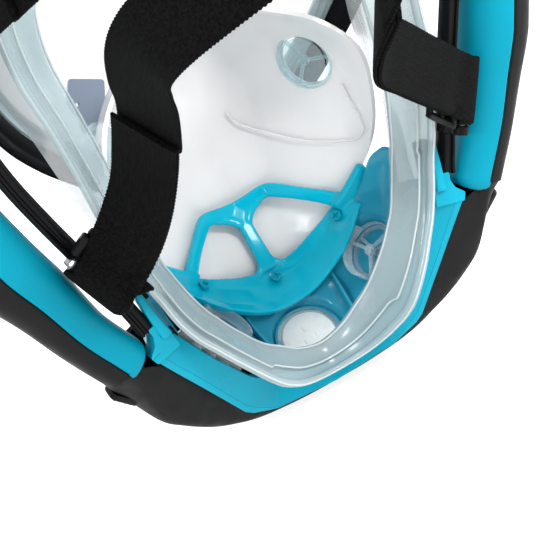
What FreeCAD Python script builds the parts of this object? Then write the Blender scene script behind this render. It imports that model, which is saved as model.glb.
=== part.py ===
import FreeCAD, Part
import math
import os
from FreeCAD import Vector

# Full-face snorkel mask.  Millimetres.  +Z up to the forehead, the wearer is on the +Y side,
# +X is the wearer's left.  The origin is in the middle of the plane of the face seal, and the
# mask is a mirror image of itself across X = 0.

# ---- driving dimensions -------------------------------------------------------------------
LENS_THICK = 2.5            # polycarbonate window
LENS_FRONT = 100.0          # depth of the window in front of the face seal, at the nose
LENS_HALF = 96.0            # half width of the window's frame
RIM_WIDE = 9.0              # black rim round the window
RIM_DEEP = 8.0
SKIN = 1.8                  # silicone wall
SHELL = 2.5                 # moulded plastic wall
TUBE_SIDE = 15.0            # half width of a breathing tube, side to side
TUBE_DEEP = 17.0            # half depth of a breathing tube, front to back
TUBE_WALL = 2.2
STRAP_WIDE = 26.0
STRAP_THICK = 2.4
PIN_R = 1.6                 # buckle pin
PIN_PLAY = 0.06             # radial running clearance on a buckle pin
DRAIN_R = 14.0              # drain valve in the chin
SIDE_VALVE_R = 12.0         # exhaust valves beside it
SIDE_CAGE_R = 13.0          # clear cages over those
CHEEK_VALVE_R = 13.0        # inhalation valves in the breathing cup
CAGE_R = 17.0               # float chamber on top of each tube
CAGE_TALL = 34.0
FLOAT_R = 11.5
FLOAT_TALL = 14.0
FLAP_THICK = 1.2
SEAT_TALL = 3.0
CLEAR = 0.4                 # gap between pieces of different bodies

os.makedirs("parts", exist_ok=True)


# ---- helpers --------------------------------------------------------------------------------
def unit(v):
    return Vector(v).normalize()


def mirrored(shape):
    return shape.mirror(Vector(0, 0, 0), Vector(1, 0, 0))


def export(name, shape):
    shape.exportStep("parts/" + name + ".step")


def export_pair(name, left):
    export(name + "_left", left)
    export(name + "_right", mirrored(left))


def polygon(points):
    corners = [Vector(*p) for p in points]
    return Part.makePolygon(corners + corners[:1])


def flat_polygon(points):
    """A closed polygon of POINTS, each moved onto their common plane."""
    centre = Vector(0, 0, 0)
    for p in points:
        centre = centre + p * (1.0 / len(points))
    normal = Vector(0, 0, 0)
    for a, b in zip(points, points[1:] + points[:1]):
        normal = normal + (a - centre).cross(b - centre)
    normal = unit(normal)
    return polygon([tuple(p - normal * (p - centre).dot(normal)) for p in points])


def ring(points):
    curve = Part.BSplineCurve()
    curve.interpolate(Points=[Vector(*p) for p in points], PeriodicFlag=True)
    return Part.Wire([curve.toShape()])


def curve_edge(points):
    curve = Part.BSplineCurve()
    curve.interpolate([Vector(*p) for p in points])
    return curve.toShape()


def strip_wire(outer, inner):
    """A closed wire of two open curves joined at their ends."""
    back = inner[::-1]
    first = Part.makeLine(Vector(*outer[-1]), Vector(*back[0]))
    last = Part.makeLine(Vector(*back[-1]), Vector(*outer[0]))
    return Part.Wire([curve_edge(outer), first, curve_edge(back), last])


def loft(wires, ruled=False):
    return Part.makeLoft(wires, True, ruled)


def both_sides(half):
    """One solid from a half that meets its mirror image in the plane X = 0."""
    return half.fuse(mirrored(half)).removeSplitter()


def placed(shape, origin, axis):
    """SHAPE, built along +Z at zero, moved to ORIGIN with +Z turned to AXIS."""
    turn = FreeCAD.Rotation(Vector(0, 0, 1), unit(axis))
    moved = shape.copy()
    moved.Placement = FreeCAD.Placement(Vector(*origin), turn)
    return moved


def disc(radius, height, base=0.0):
    return Part.makeCylinder(radius, height, Vector(0, 0, base))


def tube_ring(outer, inner, height, base=0.0):
    return disc(outer, height, base).cut(disc(inner, height + 2, base - 1))


def box_between(low, high):
    size = [h - l for l, h in zip(low, high)]
    return Part.makeBox(size[0], size[1], size[2], Vector(*low))


def bar(points, across, wide, deep):
    """A straight-sided bar through POINTS, WIDE along ACROSS and DEEP square to it."""
    line = [Vector(*p) for p in points]
    wires = []
    for i, p in enumerate(line):
        ahead = unit(line[min(i + 1, len(line) - 1)] - line[max(i - 1, 0)])
        w = Vector(*across)
        w = unit(w - ahead * w.dot(ahead)) * (wide / 2)
        n = unit(ahead.cross(w)) * (deep / 2)
        wires.append(polygon([tuple(p + w + n), tuple(p - w + n), tuple(p - w - n), tuple(p + w - n)]))
    return loft(wires, True)


# ---- the window and its frame ---------------------------------------------------------------
def lens_y(x, z):
    """Front surface of the window: a wide curve that leans back above the eyes."""
    side = 64.0 * (x / LENS_HALF) ** 2
    lean = 35.0 * ((z - 30) / 119) ** 2 if z > 30 else 5.0 * ((30 - z) / 42) ** 2
    return -LENS_FRONT + side + lean


RIM_LINE = [(0, -12), (25, -10), (49, -4), (66.5, 11.5), (78, 25), (86.5, 39), (93, 58), (96, 80),
            (93.5, 102), (84, 120), (66, 134), (44, 143), (22, 147.5), (0, 149)]


def rim_inset(distance):
    """The rim's outline in X and Z, moved inwards by DISTANCE."""
    moved = []
    last = len(RIM_LINE) - 1
    for i, (x, z) in enumerate(RIM_LINE):
        x0, z0 = RIM_LINE[i - 1] if i > 0 else (-RIM_LINE[1][0], RIM_LINE[1][1])
        x1, z1 = RIM_LINE[i + 1] if i < last else (-RIM_LINE[-2][0], RIM_LINE[-2][1])
        length = math.hypot(x1 - x0, z1 - z0)
        moved.append((x - distance * (z1 - z0) / length, z + distance * (x1 - x0) / length))
    return moved


def full_outline(half):
    return half + [(-x, z) for x, z in half[-2:0:-1]]


def rim_band(inset_out, inset_in, front, back):
    """A band that follows the window's edge, FRONT to BACK behind its front surface."""
    wires = []
    for (xo, zo), (xi, zi) in zip(rim_inset(inset_out), rim_inset(inset_in)):
        yo, yi = lens_y(xo, zo), lens_y(xi, zi)
        wires.append(polygon([(xo, yo + front, zo), (xi, yi + front, zi),
                              (xi, yi + back, zi), (xo, yo + back, zo)]))
    return both_sides(loft(wires, True))


LENS_EDGE = 4.2             # the window runs this far in from the rim's outside


def make_lens():
    across = [LENS_HALF * k / 5.0 for k in range(-5, 6)]
    levels = [-20, 5, 30, 60, 90, 120, 155]
    wires = []
    for z in levels:
        front = [(x, lens_y(x, z), z) for x in across]
        back = [(x, y + LENS_THICK, level) for x, y, level in front]
        wires.append(strip_wire(front, back))
    slab = loft(wires)
    outline = [(x, -LENS_FRONT - 20, z) for x, z in full_outline(rim_inset(LENS_EDGE))]
    prism = Part.Face(ring(outline)).extrude(Vector(0, LENS_FRONT + 30, 0))
    return slab.common(prism)


# The leg carries the chin unit: from the lug on the chin up to the side of the rim.
LEG_LINE = [(73.5, -7, -41), (76.5, -5, -31), (80.5, -3, -18), (86, -1, -2), (92, 2, 15),
            (98, 6, 34), (101.5, 8, 52), (102, 8, 72)]
LEG_WIDE = 9.0
LEG_DEEP = 6.0
LOW_PIN = Vector(82.5, 8.0, -15.0)
LOW_PIN_AXIS = unit(Vector(0.42, 0.07, 0.90))
TOP_PIN = Vector(101.0, 15.5, 93.0)
TOP_PIN_AXIS = unit(Vector(-0.12, 0, 0.99))
KNUCKLE_LONG = 20.0
EAR_LONG = 4.0


def pin_ears(centre, axis, root):
    """Two ears that hold a buckle pin, one past each end of the buckle's knuckle."""
    ears = None
    for side in (-1, 1):
        start = centre + axis * (side * (KNUCKLE_LONG / 2 + CLEAR))
        ear = placed(disc(3.4, EAR_LONG), start, axis * side)
        foot = start + axis * (side * EAR_LONG / 2)
        web = bar([tuple(foot), tuple(foot + root)], tuple(axis), EAR_LONG, 5.0)
        piece = ear.fuse(web)
        ears = piece if ears is None else ears.fuse(piece)
    bore = placed(disc(PIN_R, 60, -30), centre, axis)
    return ears.cut(bore)


def make_rim():
    rim = rim_band(0, RIM_WIDE, -1.5, RIM_DEEP - 1.5)
    return rim.cut(rim_band(LENS_EDGE, RIM_WIDE + 1, 0, LENS_THICK))


def make_side_leg():
    leg = bar(LEG_LINE, (1, 0, 0), LEG_WIDE, LEG_DEEP)
    # the side bracket closes the gap between the rim and the top of the leg
    top_line = [(92, -28, 62), (98, -10, 66), (102, 8, 70)]
    high_line = [(93, -27, 104), (98, -10, 102), (102, 9, 98)]
    brackets = bar(top_line, (0, 0, 1), 16, 6).fuse(bar(high_line, (0, 0, 1), 12, 6))
    rail = bar([(102, 8, 60), (102, 9, 84), (101, 9, 108)], (1, 0, 0), LEG_WIDE, LEG_DEEP)
    side = leg.fuse(brackets).fuse(rail)
    side = side.fuse(pin_ears(LOW_PIN, LOW_PIN_AXIS, Vector(-0.5, -10.0, 0)))
    side = side.fuse(pin_ears(TOP_PIN, TOP_PIN_AXIS, Vector(0.5, -6.5, 0)))
    return side.cut(rim_band(-2, RIM_WIDE + 2, -4, RIM_DEEP - 1.5)).removeSplitter()


# ---- silicone: skirt, breathing cup and window gasket ----------------------------------------
# Each row: outer edge of the lip, fold where the lip turns in, and the edge that is clamped.
SKIRT_ROWS = [
    ((0, -25, -107.5), (0, -35, -95.5), (0, -34.5, -103)),
    ((15, -19, -104), (11, -33, -92), (17, -32, -98.5)),
    ((26, -8, -96), (20, -29.5, -85), (26.5, -28.5, -93)),
    ((34, 0.6, -87), (28, -27, -78.5), (34, -23.5, -87)),
    ((43.4, 3, -74), (37, -21.5, -66), (43, -18.5, -77.5)),
    ((51, 2, -63), (42, -19, -57.5), (50, -15.5, -66.5)),
    ((56, 1, -55.5), (45.5, -17.5, -51), (54.5, -14, -58)),
    ((60.4, 1, -45.7), (49, -16.5, -42), (59, -13.5, -48)),
    ((64, 3, -33), (52.5, -14.5, -31), (61, -16, -33)),
    ((67.5, 6, -21.5), (55, -12, -21), (66, -24, -18)),
    ((73, 13, 4), (58.5, -6, 3), (70, -42, 10)),
    ((75, 15, 26), (60, -4, 26), (74, -46, 36)),
    ((77, 15.5, 46), (61.5, -4, 46), (79, -40, 53)),
    ((80, 15, 68), (63, -5, 66), (82, -33, 72)),
    ((78, 12, 90), (60, -8, 82), (80, -32, 93)),
    ((67, 4, 107), (51, -15, 95), (71, -37, 111)),
    ((47, -5, 118), (36, -22, 104), (51, -47, 124)),
    ((24, -11, 124), (18, -27, 109), (26, -54, 130)),
    ((0, -13, 126), (0, -28, 111), (0, -56, 132)),
]


def skirt_section(row):
    """The lip and the wall as one thin V; its corners are moved out and in along its bisectors."""
    lip, fold, root = [Vector(*p) for p in row]
    to_lip = unit(lip - fold)
    to_root = unit(root - fold)
    inward = unit(to_lip + to_root) * (SKIN * 0.75)
    normal = to_lip.cross(to_root)
    lip_side = unit(to_lip.cross(normal)) * (SKIN / 2)
    root_side = unit(normal.cross(to_root)) * (SKIN / 2)
    return polygon([tuple(lip + lip_side), tuple(fold - inward), tuple(root + root_side),
                    tuple(root - root_side), tuple(fold + inward), tuple(lip - lip_side)])


def make_skirt():
    rows = []
    for i, row in enumerate(SKIRT_ROWS):
        if i in (0, len(SKIRT_ROWS) - 1):
            row = [(0, p[1], p[2]) for p in row]
        rows.append(skirt_section(row))
    return both_sides(loft(rows, True))


# Breathing cup, level by level: its section runs from the open back edge round to the keel.
CUP_LEVELS = [
    (-62, [(22, -62), (15, -66), (8, -68), (0, -69.5)]),
    (-50, [(37, -54.5), (28, -63), (14, -73), (0, -77)]),
    (-38, [(49, -43.5), (38, -56), (18, -78), (0, -83)]),
    (-20, [(56, -30), (50, -50), (26, -77), (0, -84)]),
    (0, [(58, -20), (54, -46), (30, -78), (0, -87.5)]),
    (18, [(57, -17), (52, -48), (29, -78), (0, -88.5)]),
    (34, [(47, -24), (40, -52), (23, -74), (0, -82)]),
    (46, [(30, -36), (24, -56), (12, -66), (0, -69)]),
]
CHEEK_VALVE = (47.0, -53.0, 15.0)
CHEEK_AXIS = unit(Vector(0.80, -0.60, 0.05))


def cup_curve(level, shrink):
    """One level's line from side to side, moved inwards by SHRINK."""
    z, half = level
    scale = 1.0 - shrink / half[0][0]
    line = [(x * scale, y + shrink * (1.0 - x / half[0][0]), z) for x, y in half]
    return line + [(-x, y, level_z) for x, y, level_z in line[-2::-1]]


def make_cup():
    wires = [strip_wire(cup_curve(level, 0), cup_curve(level, SKIN)) for level in CUP_LEVELS]
    cup = loft(wires)
    hole = placed(disc(CHEEK_VALVE_R - 1.0, 40, -20), CHEEK_VALVE, CHEEK_AXIS)
    return cup.cut(hole).cut(mirrored(hole))


# ---- breathing tubes --------------------------------------------------------------------------
TUBE_LINE = [(87, -13, -57), (98, -10, -36), (104.5, -8, -15), (111.5, -7, 4), (118.5, -5, 26),
             (124, -2, 52), (126.5, 4, 88), (123.5, 13, 126), (115, 27, 168), (104, 41, 208), (96.5, 51, 238)]
SEAM_FRONT = 202.0          # angles round the section where the two shells meet
SEAM_BACK = 80.0
FOOT_BACK = 50.0            # and where the shroud's foot leaves off on the same scale


def tube_frames():
    line = [Vector(*p) for p in TUBE_LINE]
    frames = []
    for i, p in enumerate(line):
        ahead = unit(line[min(i + 1, len(line) - 1)] - line[max(i - 1, 0)])
        rear = Vector(0, 1, 0)
        rear = unit(rear - ahead * rear.dot(ahead))
        side = unit(rear.cross(ahead))
        frames.append((p, side, rear))
    return frames


def tube_arc(frame, start, stop, shrink):
    centre, side, rear = frame
    steps = 12
    points = []
    for k in range(steps + 1):
        a = math.radians(start + (stop - start) * k / steps)
        c, s = math.cos(a), math.sin(a)
        squared = (abs(c) ** 2.6 + abs(s) ** 2.6) ** (-1 / 2.6)
        p = centre + side * ((TUBE_SIDE - shrink) * c * squared) + rear * ((TUBE_DEEP - shrink) * s * squared)
        points.append(tuple(p))
    return points


def tube_shell(start, stop):
    wires = []
    for frame in tube_frames():
        outside = tube_arc(frame, start, stop, 0)
        inside = tube_arc(frame, start, stop, TUBE_WALL)
        wires.append(strip_wire(outside, inside))
    return loft(wires)


def tube_end(index):
    line = [Vector(*p) for p in TUBE_LINE]
    if index == 0:
        return line[0], unit(line[1] - line[0])
    return line[-1], unit(line[-1] - line[-2])


def make_socket_seal():
    """Silicone plug ring at the foot of a tube, inside its bore."""
    foot, axis = tube_end(0)
    return placed(tube_ring(10.8, 8.6, 6.0, 1.0), foot, axis)


# ---- chin unit --------------------------------------------------------------------------------
# Back edge of the teal band, from the middle of the chin out to the ear below each tube.
BAND_OUT = [(0, -31, -114), (31.5, -28.6, -110.8), (43.6, -24.3, -104.6), (59, -13.5, -80), (74.3, -3, -55.3)]
BAND_IN = [(0, -36, -105), (24, -33, -99), (36, -24, -91), (50, -14, -71), (62, -8, -51)]
BAND_DEEP = 34.0            # how far the band runs forwards under the chin


def band_section(outer, inner):
    """An angle: the face that shows at the back, and the wall that runs forwards under the chin."""
    out, inn = Vector(*outer), Vector(*inner)
    across = unit(inn - out)
    forward = unit(Vector(-0.12 * outer[0] / 60, -1, 0.10))
    corner = out + across * SHELL + forward * SHELL
    return flat_polygon([out, inn, inn + forward * SHELL, corner,
                         out + across * SHELL + forward * BAND_DEEP, out + forward * BAND_DEEP])


def tube_room():
    """The space that the foot of a tube takes up, with clearance round it."""
    rings = [ring(tube_arc(f, 0, 330, -0.5)) for f in tube_frames()[:3]]
    return loft(rings)


def make_housing():
    half = loft([band_section(o, i) for o, i in zip(BAND_OUT, BAND_IN)], True)
    band = both_sides(half)
    # the lug that the frame's leg is pinned to, and the upright clip plate beside the skirt
    lug = box_between((65.5, -17, -55), (73.5, -4, -45.5))
    riser = bar([(63.5, -10, -50), (66, -11, -38), (68, -12, -28)], (1, 0, 0), 3.0, 9.0)
    slot = box_between((60, -12.5, -44), (72, -9.5, -34))
    side = lug.fuse(riser.cut(slot))
    band = band.fuse(side).fuse(mirrored(side))
    for k in range(-2, 3):
        band = band.cut(box_between((9 * k - 2.5, -60, -125), (9 * k + 2.5, -42, -105)))
    room = tube_room()
    return band.cut(room).cut(mirrored(room)).removeSplitter()


# Deck: three plates that hold the exhaust valves, between the skirt's lip and the clamp.
DRAIN = Vector(0, -47.2, -91.0)
DRAIN_AXIS = unit(Vector(0, 0.62, 0.78))
SIDE_VALVE = Vector(39.0, -35.2, -70.7)
SIDE_AXIS = unit(Vector(-0.66, 0.34, 0.67))
DECK_SPLIT = 21.0           # the middle plate ends at a rib this far from the middle
WELL_DEEP = 4.0
COVER_BELOW = 10.5          # the grille sits this far under the drain valve


def plate(centre, axis, run, ahead, behind, wide):
    """A flat plate square to AXIS whose top face holds CENTRE."""
    a = unit(axis)
    t = unit(run - a * run.dot(a))
    middle = centre - a * (SHELL / 2)
    return bar([tuple(middle - t * behind), tuple(middle + t * ahead)], tuple(a.cross(t)), wide, SHELL)


def make_deck():
    uphill = Vector(0, -1, 1)
    middle = plate(DRAIN, DRAIN_AXIS, uphill, 19, 13, 2 * DECK_SPLIT)
    side = plate(SIDE_VALVE, SIDE_AXIS, Vector(0.5, -0.4, 0.75), 25, 13.4, 30)
    side = side.cut(box_between((-50, -120, -140), (DECK_SPLIT, 50, 20)))
    rib_outline = [(-60.5, -83), (-52, -74), (-34, -90), (-36, -101)]
    rib = polygon([(DECK_SPLIT, y, z) for y, z in rib_outline])
    rib = Part.Face(rib).extrude(Vector(1.6, 0, 0))
    deck = middle.fuse(placed(disc(DRAIN_R + 1.6, WELL_DEEP, -WELL_DEEP), DRAIN, DRAIN_AXIS))
    boss = placed(disc(SIDE_VALVE_R + 1.4, WELL_DEEP, -WELL_DEEP), SIDE_VALVE, SIDE_AXIS)
    for piece in (side, rib, boss):
        deck = deck.fuse(piece).fuse(mirrored(piece))
    deck = deck.cut(placed(disc(DRAIN_R, 34, -20), DRAIN, DRAIN_AXIS))
    hole = placed(disc(SIDE_VALVE_R, 24, -12), SIDE_VALVE, SIDE_AXIS)
    return deck.cut(hole).cut(mirrored(hole)).removeSplitter()


# Shroud: black outer shell of the chin, level rows from the chin's underside to the tube sockets.
SHROUD_ROWS = [
    ((0, -42, -118), (0, -66, -114), (0, -84, -98), (0, -90, -78), (0, -86, -62)),
    ((22, -41, -117), (22, -65, -113), (22, -83, -97), (22, -89, -77), (22, -85, -61)),
    ((42, -37, -113), (43, -61, -108), (44, -78, -94), (43, -83, -75), (42, -79, -58)),
    ((58, -30, -105), (60, -53, -101), (62, -66, -89), (61, -69, -72), (58, -66, -55)),
    ((70, -21, -94), (74, -42, -92), (76, -51, -83), (74, -51, -68), (70, -48, -53)),
    ((79, -15.5, -83), (84, -34, -81), (86, -41, -76), (84, -42, -66), (79, -41, -54)),
]


def shroud_section(row):
    outer = [Vector(*p) for p in row]
    heart = Vector(row[0][0] * 0.6, -25, -70)
    inner = [p + unit(heart - p) * SHELL for p in outer]
    return flat_polygon(outer + inner[::-1])


def foot_section():
    """The shroud's end: an arc that matches the foot of the tube's front shell."""
    centre, side, rear = tube_frames()[0]
    step = unit(side.cross(rear)) * -CLEAR
    if step.z > 0:
        step = step * -1
    frame = (centre + step, side, rear)
    outer = [Vector(*p) for p in tube_arc(frame, FOOT_BACK, SEAM_FRONT - 360, 0)]
    inner = [Vector(*p) for p in tube_arc(frame, FOOT_BACK, SEAM_FRONT - 360, SHELL)]
    picks = [0, 3, 6, 9, 12]
    return flat_polygon([outer[k] for k in picks] + [inner[k] for k in picks[::-1]])


def make_shroud():
    shell = both_sides(loft([shroud_section(r) for r in SHROUD_ROWS] + [foot_section()], True))
    deep = 3.0 + LATCH_TRAVEL + CLEAR
    pocket = placed(box_between((-7.5, -5, -2), (7.5, 5, deep)).fuse(disc(2.5, 9, 0)), LATCH, LATCH_AXIS)
    return shell.cut(pocket).cut(mirrored(pocket))


# Clamp: a crescent under the mouth with an arch and a spoke, screwed through the cup.
CRESCENT = [
    ((0, -63.5, -64.5), (0, -50, -79.5)),
    ((12, -61.5, -62.5), (12, -47.5, -77)),
    ((24, -59, -57), (24, -43.5, -69.5)),
    ((31, -56, -52.5), (32, -42, -63)),
    ((38.5, -49, -45), (44, -40.5, -49.5)),
    ((49.5, -39.5, -34), (50.3, -40.5, -36.5)),
]
CLAMP_THICK = 3.2
SCREW_PLACES = [((0, -58.5, -68.5), (0, 0.72, 0.69)), ((34, -49.5, -53.5), (-0.45, 0.60, 0.66))]


def crescent_section(row):
    high, low = Vector(*row[0]), Vector(*row[1])
    out = Vector(-0.012 * row[0][0], 0.72, 0.69).normalize() * CLAMP_THICK
    return flat_polygon([high, low, low - out, high - out])


def make_clamp():
    body = both_sides(loft([crescent_section(r) for r in CRESCENT], True))
    sink = Vector(0, -1.2, -1.0)
    arch = [Vector(37, -50, -46), Vector(27, -62, -40), Vector(16.5, -73, -34.5), Vector(0, -77, -36.5)]
    half = bar([tuple(p + sink) for p in arch], (0, 0.4, -1), 5.0, CLAMP_THICK)
    spoke = bar([(0, -77, -37), (0, -72, -46.5), (0, -62.5, -65.5)], (1, 0, 0), 5.0, CLAMP_THICK)
    body = body.fuse(half).fuse(mirrored(half)).fuse(spoke)
    return body.removeSplitter()


def screw_solids():
    head = disc(2.4, 1.6, 0.4)
    cross = Part.makeBox(3.0, 0.7, 1.0, Vector(-1.5, -0.35, 1.3))
    cross = cross.fuse(Part.makeBox(0.7, 3.0, 1.0, Vector(-0.35, -1.5, 1.3)))
    return head.cut(cross).fuse(disc(1.3, 8.0, -7.6))


def make_screws(clamp):
    solids = []
    holes = []
    for place, axis in SCREW_PLACES:
        screw = placed(screw_solids(), place, axis)
        hole = placed(disc(2.5, 12, -9), place, axis)
        solids.append(screw)
        holes.append(hole)
        if place[0] > 0:
            solids.append(mirrored(screw))
            holes.append(mirrored(hole))
    for hole in holes:
        clamp = clamp.cut(hole)
    return Part.makeCompound(solids), clamp


# ---- valves -----------------------------------------------------------------------------------
def spoked_seat(radius, height, hub):
    """A ring with three spokes and a hub, its flap's face at zero."""
    seat = tube_ring(radius, radius - 1.8, height, -height)
    for k in range(3):
        spoke = Part.makeBox(radius - 1.0, 1.4, 1.4, Vector(0, -0.7, -1.4))
        spoke.rotate(Vector(0, 0, 0), Vector(0, 0, 1), 120 * k)
        seat = seat.fuse(spoke)
    return seat.fuse(disc(hub, 2.2, -2.2)).removeSplitter()


def flap(radius):
    """A thin silicone mushroom flap that rests a hair above its seat."""
    return disc(radius, FLAP_THICK, 0.15).fuse(disc(2.0, 0.9, 0.15 + FLAP_THICK - 0.1))


def make_cage(radius):
    """The clear cage over an exhaust valve: a rim, six ribs and a small hub."""
    cage = tube_ring(radius, radius - 1.6, 1.2, 1.8)
    cage = cage.fuse(tube_ring(radius, radius - 1.0, 2.0, 0.0))
    for k in range(6):
        rib = Part.makeBox(radius - 0.6, 1.0, 1.2, Vector(0, -0.5, 1.8))
        rib.rotate(Vector(0, 0, 0), Vector(0, 0, 1), 60 * k)
        cage = cage.fuse(rib)
    return cage.fuse(disc(2.6, 1.6, 1.6)).removeSplitter()


def make_drain_cover():
    """Round grille under the drain valve; its back rim touches the shroud from inside."""
    cover = tube_ring(DRAIN_R + 0.8, DRAIN_R - 1.4, 2.2, 0)
    for k in range(-2, 3):
        reach = math.sqrt((DRAIN_R - 0.8) ** 2 - (5.0 * k) ** 2)
        cover = cover.fuse(Part.makeBox(2 * reach, 1.6, 2.2, Vector(-reach, 5.0 * k - 0.8, 0)))
    return cover.removeSplitter()


# ---- float chamber on each tube ---------------------------------------------------------------
def make_float_cage():
    top, axis = tube_end(1)
    cage = tube_ring(CAGE_R, CAGE_R - 3.0, CAGE_TALL, 0.3)
    cage = cage.fuse(tube_ring(CAGE_R - 2, 8.0, 2.4, 0.3))
    window = Part.makeBox(2 * CAGE_R + 4, 7.0, CAGE_TALL - 16, Vector(-CAGE_R - 2, -3.5, 7))
    for k in range(3):
        slot = window.copy()
        slot.rotate(Vector(0, 0, 0), Vector(0, 0, 1), 60 * k)
        cage = cage.cut(slot)
    return placed(cage.removeSplitter(), top, axis)


FLOAT_BASE = 3.6


def make_float():
    top, axis = tube_end(1)
    body = disc(FLOAT_R, FLOAT_TALL, FLOAT_BASE)
    body = body.makeFillet(1.5, [e for e in body.Edges if e.Curve.TypeId == "Part::GeomCircle"])
    return placed(body, top, axis)


def make_float_seal():
    top, axis = tube_end(1)
    base = FLOAT_BASE + FLOAT_TALL
    return placed(disc(FLOAT_R - 0.5, 1.4, base), top, axis)


def make_cap():
    """Domed cap: a skirt inside the cage's mouth and a dome over it."""
    top, axis = tube_end(1)
    dome = Part.makeSphere(22.0, Vector(0, 0, CAGE_TALL + 0.3 - 13.0))
    dome = dome.common(disc(CAGE_R + 1.0, 20, CAGE_TALL + 0.3))
    return placed(dome.fuse(tube_ring(CAGE_R - 3.1, CAGE_R - 5.0, 3.0, CAGE_TALL - 2.7)), top, axis)


# ---- latches on the shroud --------------------------------------------------------------------
LATCH = Vector(95.2, -22, -73)
LATCH_AXIS = unit(Vector(-0.76, 0.25, 0.60))
LATCH_TRAVEL = 1.2


def make_latch():
    button = Part.makeBox(14, 9, 3.0, Vector(-7, -4.5, 0))
    button = button.makeFillet(1.2, button.Edges)
    stem = disc(2.0, 3.0, 2.5)
    return placed(button.fuse(stem), LATCH, LATCH_AXIS)


# ---- buckles, straps --------------------------------------------------------------------------
def buckle_frame(centre, axis, pull):
    """Local X along the buckle's pin, local Y along the pull of its strap."""
    w = unit(axis)
    t = unit(pull - w * pull.dot(w))
    n = unit(w.cross(t))
    return FreeCAD.Matrix(w.x, t.x, n.x, centre.x,
                          w.y, t.y, n.y, centre.y,
                          w.z, t.z, n.z, centre.z,
                          0, 0, 0, 1)


def buckle_at(centre, axis, pull):
    """A ladder buckle: knuckle on the pin, plate along PULL with two strap slots."""
    frame = buckle_frame(centre, axis, pull)
    knuckle = Part.makeCylinder(3.2, KNUCKLE_LONG, Vector(-KNUCKLE_LONG / 2, 0, 0), Vector(1, 0, 0))
    plate = box_between((-17, 5.5, -1.75), (17, 24, 1.75))
    neck = box_between((-8, 1.5, -1.75), (8, 6.5, 1.75))
    body = knuckle.fuse(plate).fuse(neck)
    body = body.cut(box_between((-13.8, 8.5, -5), (13.8, 12.5, 5)))
    body = body.cut(box_between((-13.8, 16, -5), (13.8, 21, 5)))
    body = body.cut(Part.makeCylinder(PIN_R + PIN_PLAY, 40, Vector(-20, 0, 0), Vector(1, 0, 0)))
    return body.removeSplitter().transformGeometry(frame)


def pin_at(centre, axis):
    long = KNUCKLE_LONG + 2 * EAR_LONG + 2 * CLEAR
    return placed(disc(PIN_R, long, -long / 2), centre, axis)


LOW_PULL = unit(Vector(-0.66, 0.58, 0.48))
TOP_PULL = unit(Vector(-0.30, 0.94, 0.12))

# Straps: middle line, and the direction of the strap's width at each point.
STRAP_START = 30.5          # from a buckle's pin to the free part of its strap
LOW_STRAP = [(LOW_PIN + LOW_PULL * STRAP_START, (0.42, 0.07, 0.90)),
             (LOW_PIN + LOW_PULL * (STRAP_START + 4), (0.48, 0.05, 0.86)),
             ((58.5, 38, 13), (0.66, 0.0, 0.75)), ((57.3, 52, 28), (0.80, 0.0, 0.60)),
             ((57.2, 68, 43), (0.84, -0.05, 0.52)), ((58.5, 84, 55.5), (0.80, -0.1, 0.60)),
             ((58.5, 101, 66.5), (0.74, -0.15, 0.66)), ((53.5, 120, 76), (0.60, -0.2, 0.78)),
             ((42, 138, 83), (0.40, -0.2, 0.88)), ((28, 151, 89), (0.2, -0.1, 0.95)),
             ((13.5, 160, 93), (0, 0, 1))]
TOP_STRAP = [(TOP_PIN + TOP_PULL * STRAP_START, (-0.12, 0, 0.99)), ((87, 65, 102), (-0.1, 0, 0.99)),
             ((78, 87, 108), (-0.08, 0, 0.99)), ((64, 112, 115), (-0.05, 0, 0.99)),
             ((44, 137, 121), (0, 0, 1)), ((26, 153, 125), (0, 0, 1)), ((13, 160, 126), (0, 0, 1))]


def strap_solid(rows):
    wires = []
    for i, (point, width) in enumerate(rows):
        p = Vector(*point)
        before = Vector(*rows[max(i - 1, 0)][0])
        after = Vector(*rows[min(i + 1, len(rows) - 1)][0])
        ahead = unit(after - before)
        w = Vector(*width)
        w = unit(w - ahead * w.dot(ahead)) * (STRAP_WIDE / 2)
        n = unit(ahead.cross(w)) * (STRAP_THICK / 2)
        wires.append(polygon([tuple(p + w + n), tuple(p - w + n), tuple(p - w - n), tuple(p + w - n)]))
    return loft(wires, True)


def strap_end(centre, axis, pull):
    """The doubled end of a strap that loops round the buckle's outer bar."""
    frame = buckle_frame(centre, axis, pull)
    half = STRAP_WIDE / 2
    loop = box_between((-half, 17.2, -4.2), (half, 27.0, 4.2))
    loop = loop.cut(box_between((-half - 1, 19.4, -2.1), (half + 1, 24.6, 2.1)))
    return loop.transformGeometry(frame)


def make_pad():
    """Soft plate at the back of the head where the four straps meet."""
    pad = box_between((-11.5, 157.5, 76), (11.5, 162.5, 142))
    return pad.makeFillet(2.0, pad.Edges)


# ---- build and write every piece -------------------------------------------------------------
export("visor_rim", make_rim())
export_pair("side_leg", make_side_leg())
export("visor_lens", make_lens())
export("lens_gasket", rim_band(RIM_WIDE + 0.2, RIM_WIDE + 6.5, LENS_THICK + 0.1, RIM_DEEP))
export("face_skirt", make_skirt())
export("oronasal_cup", make_cup())
export("chin_housing", make_housing())
export("valve_deck", make_deck())
export("chin_shroud", make_shroud())
screws, clamp = make_screws(make_clamp())
export("cup_clamp", clamp)
export("clamp_screws", screws)

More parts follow.
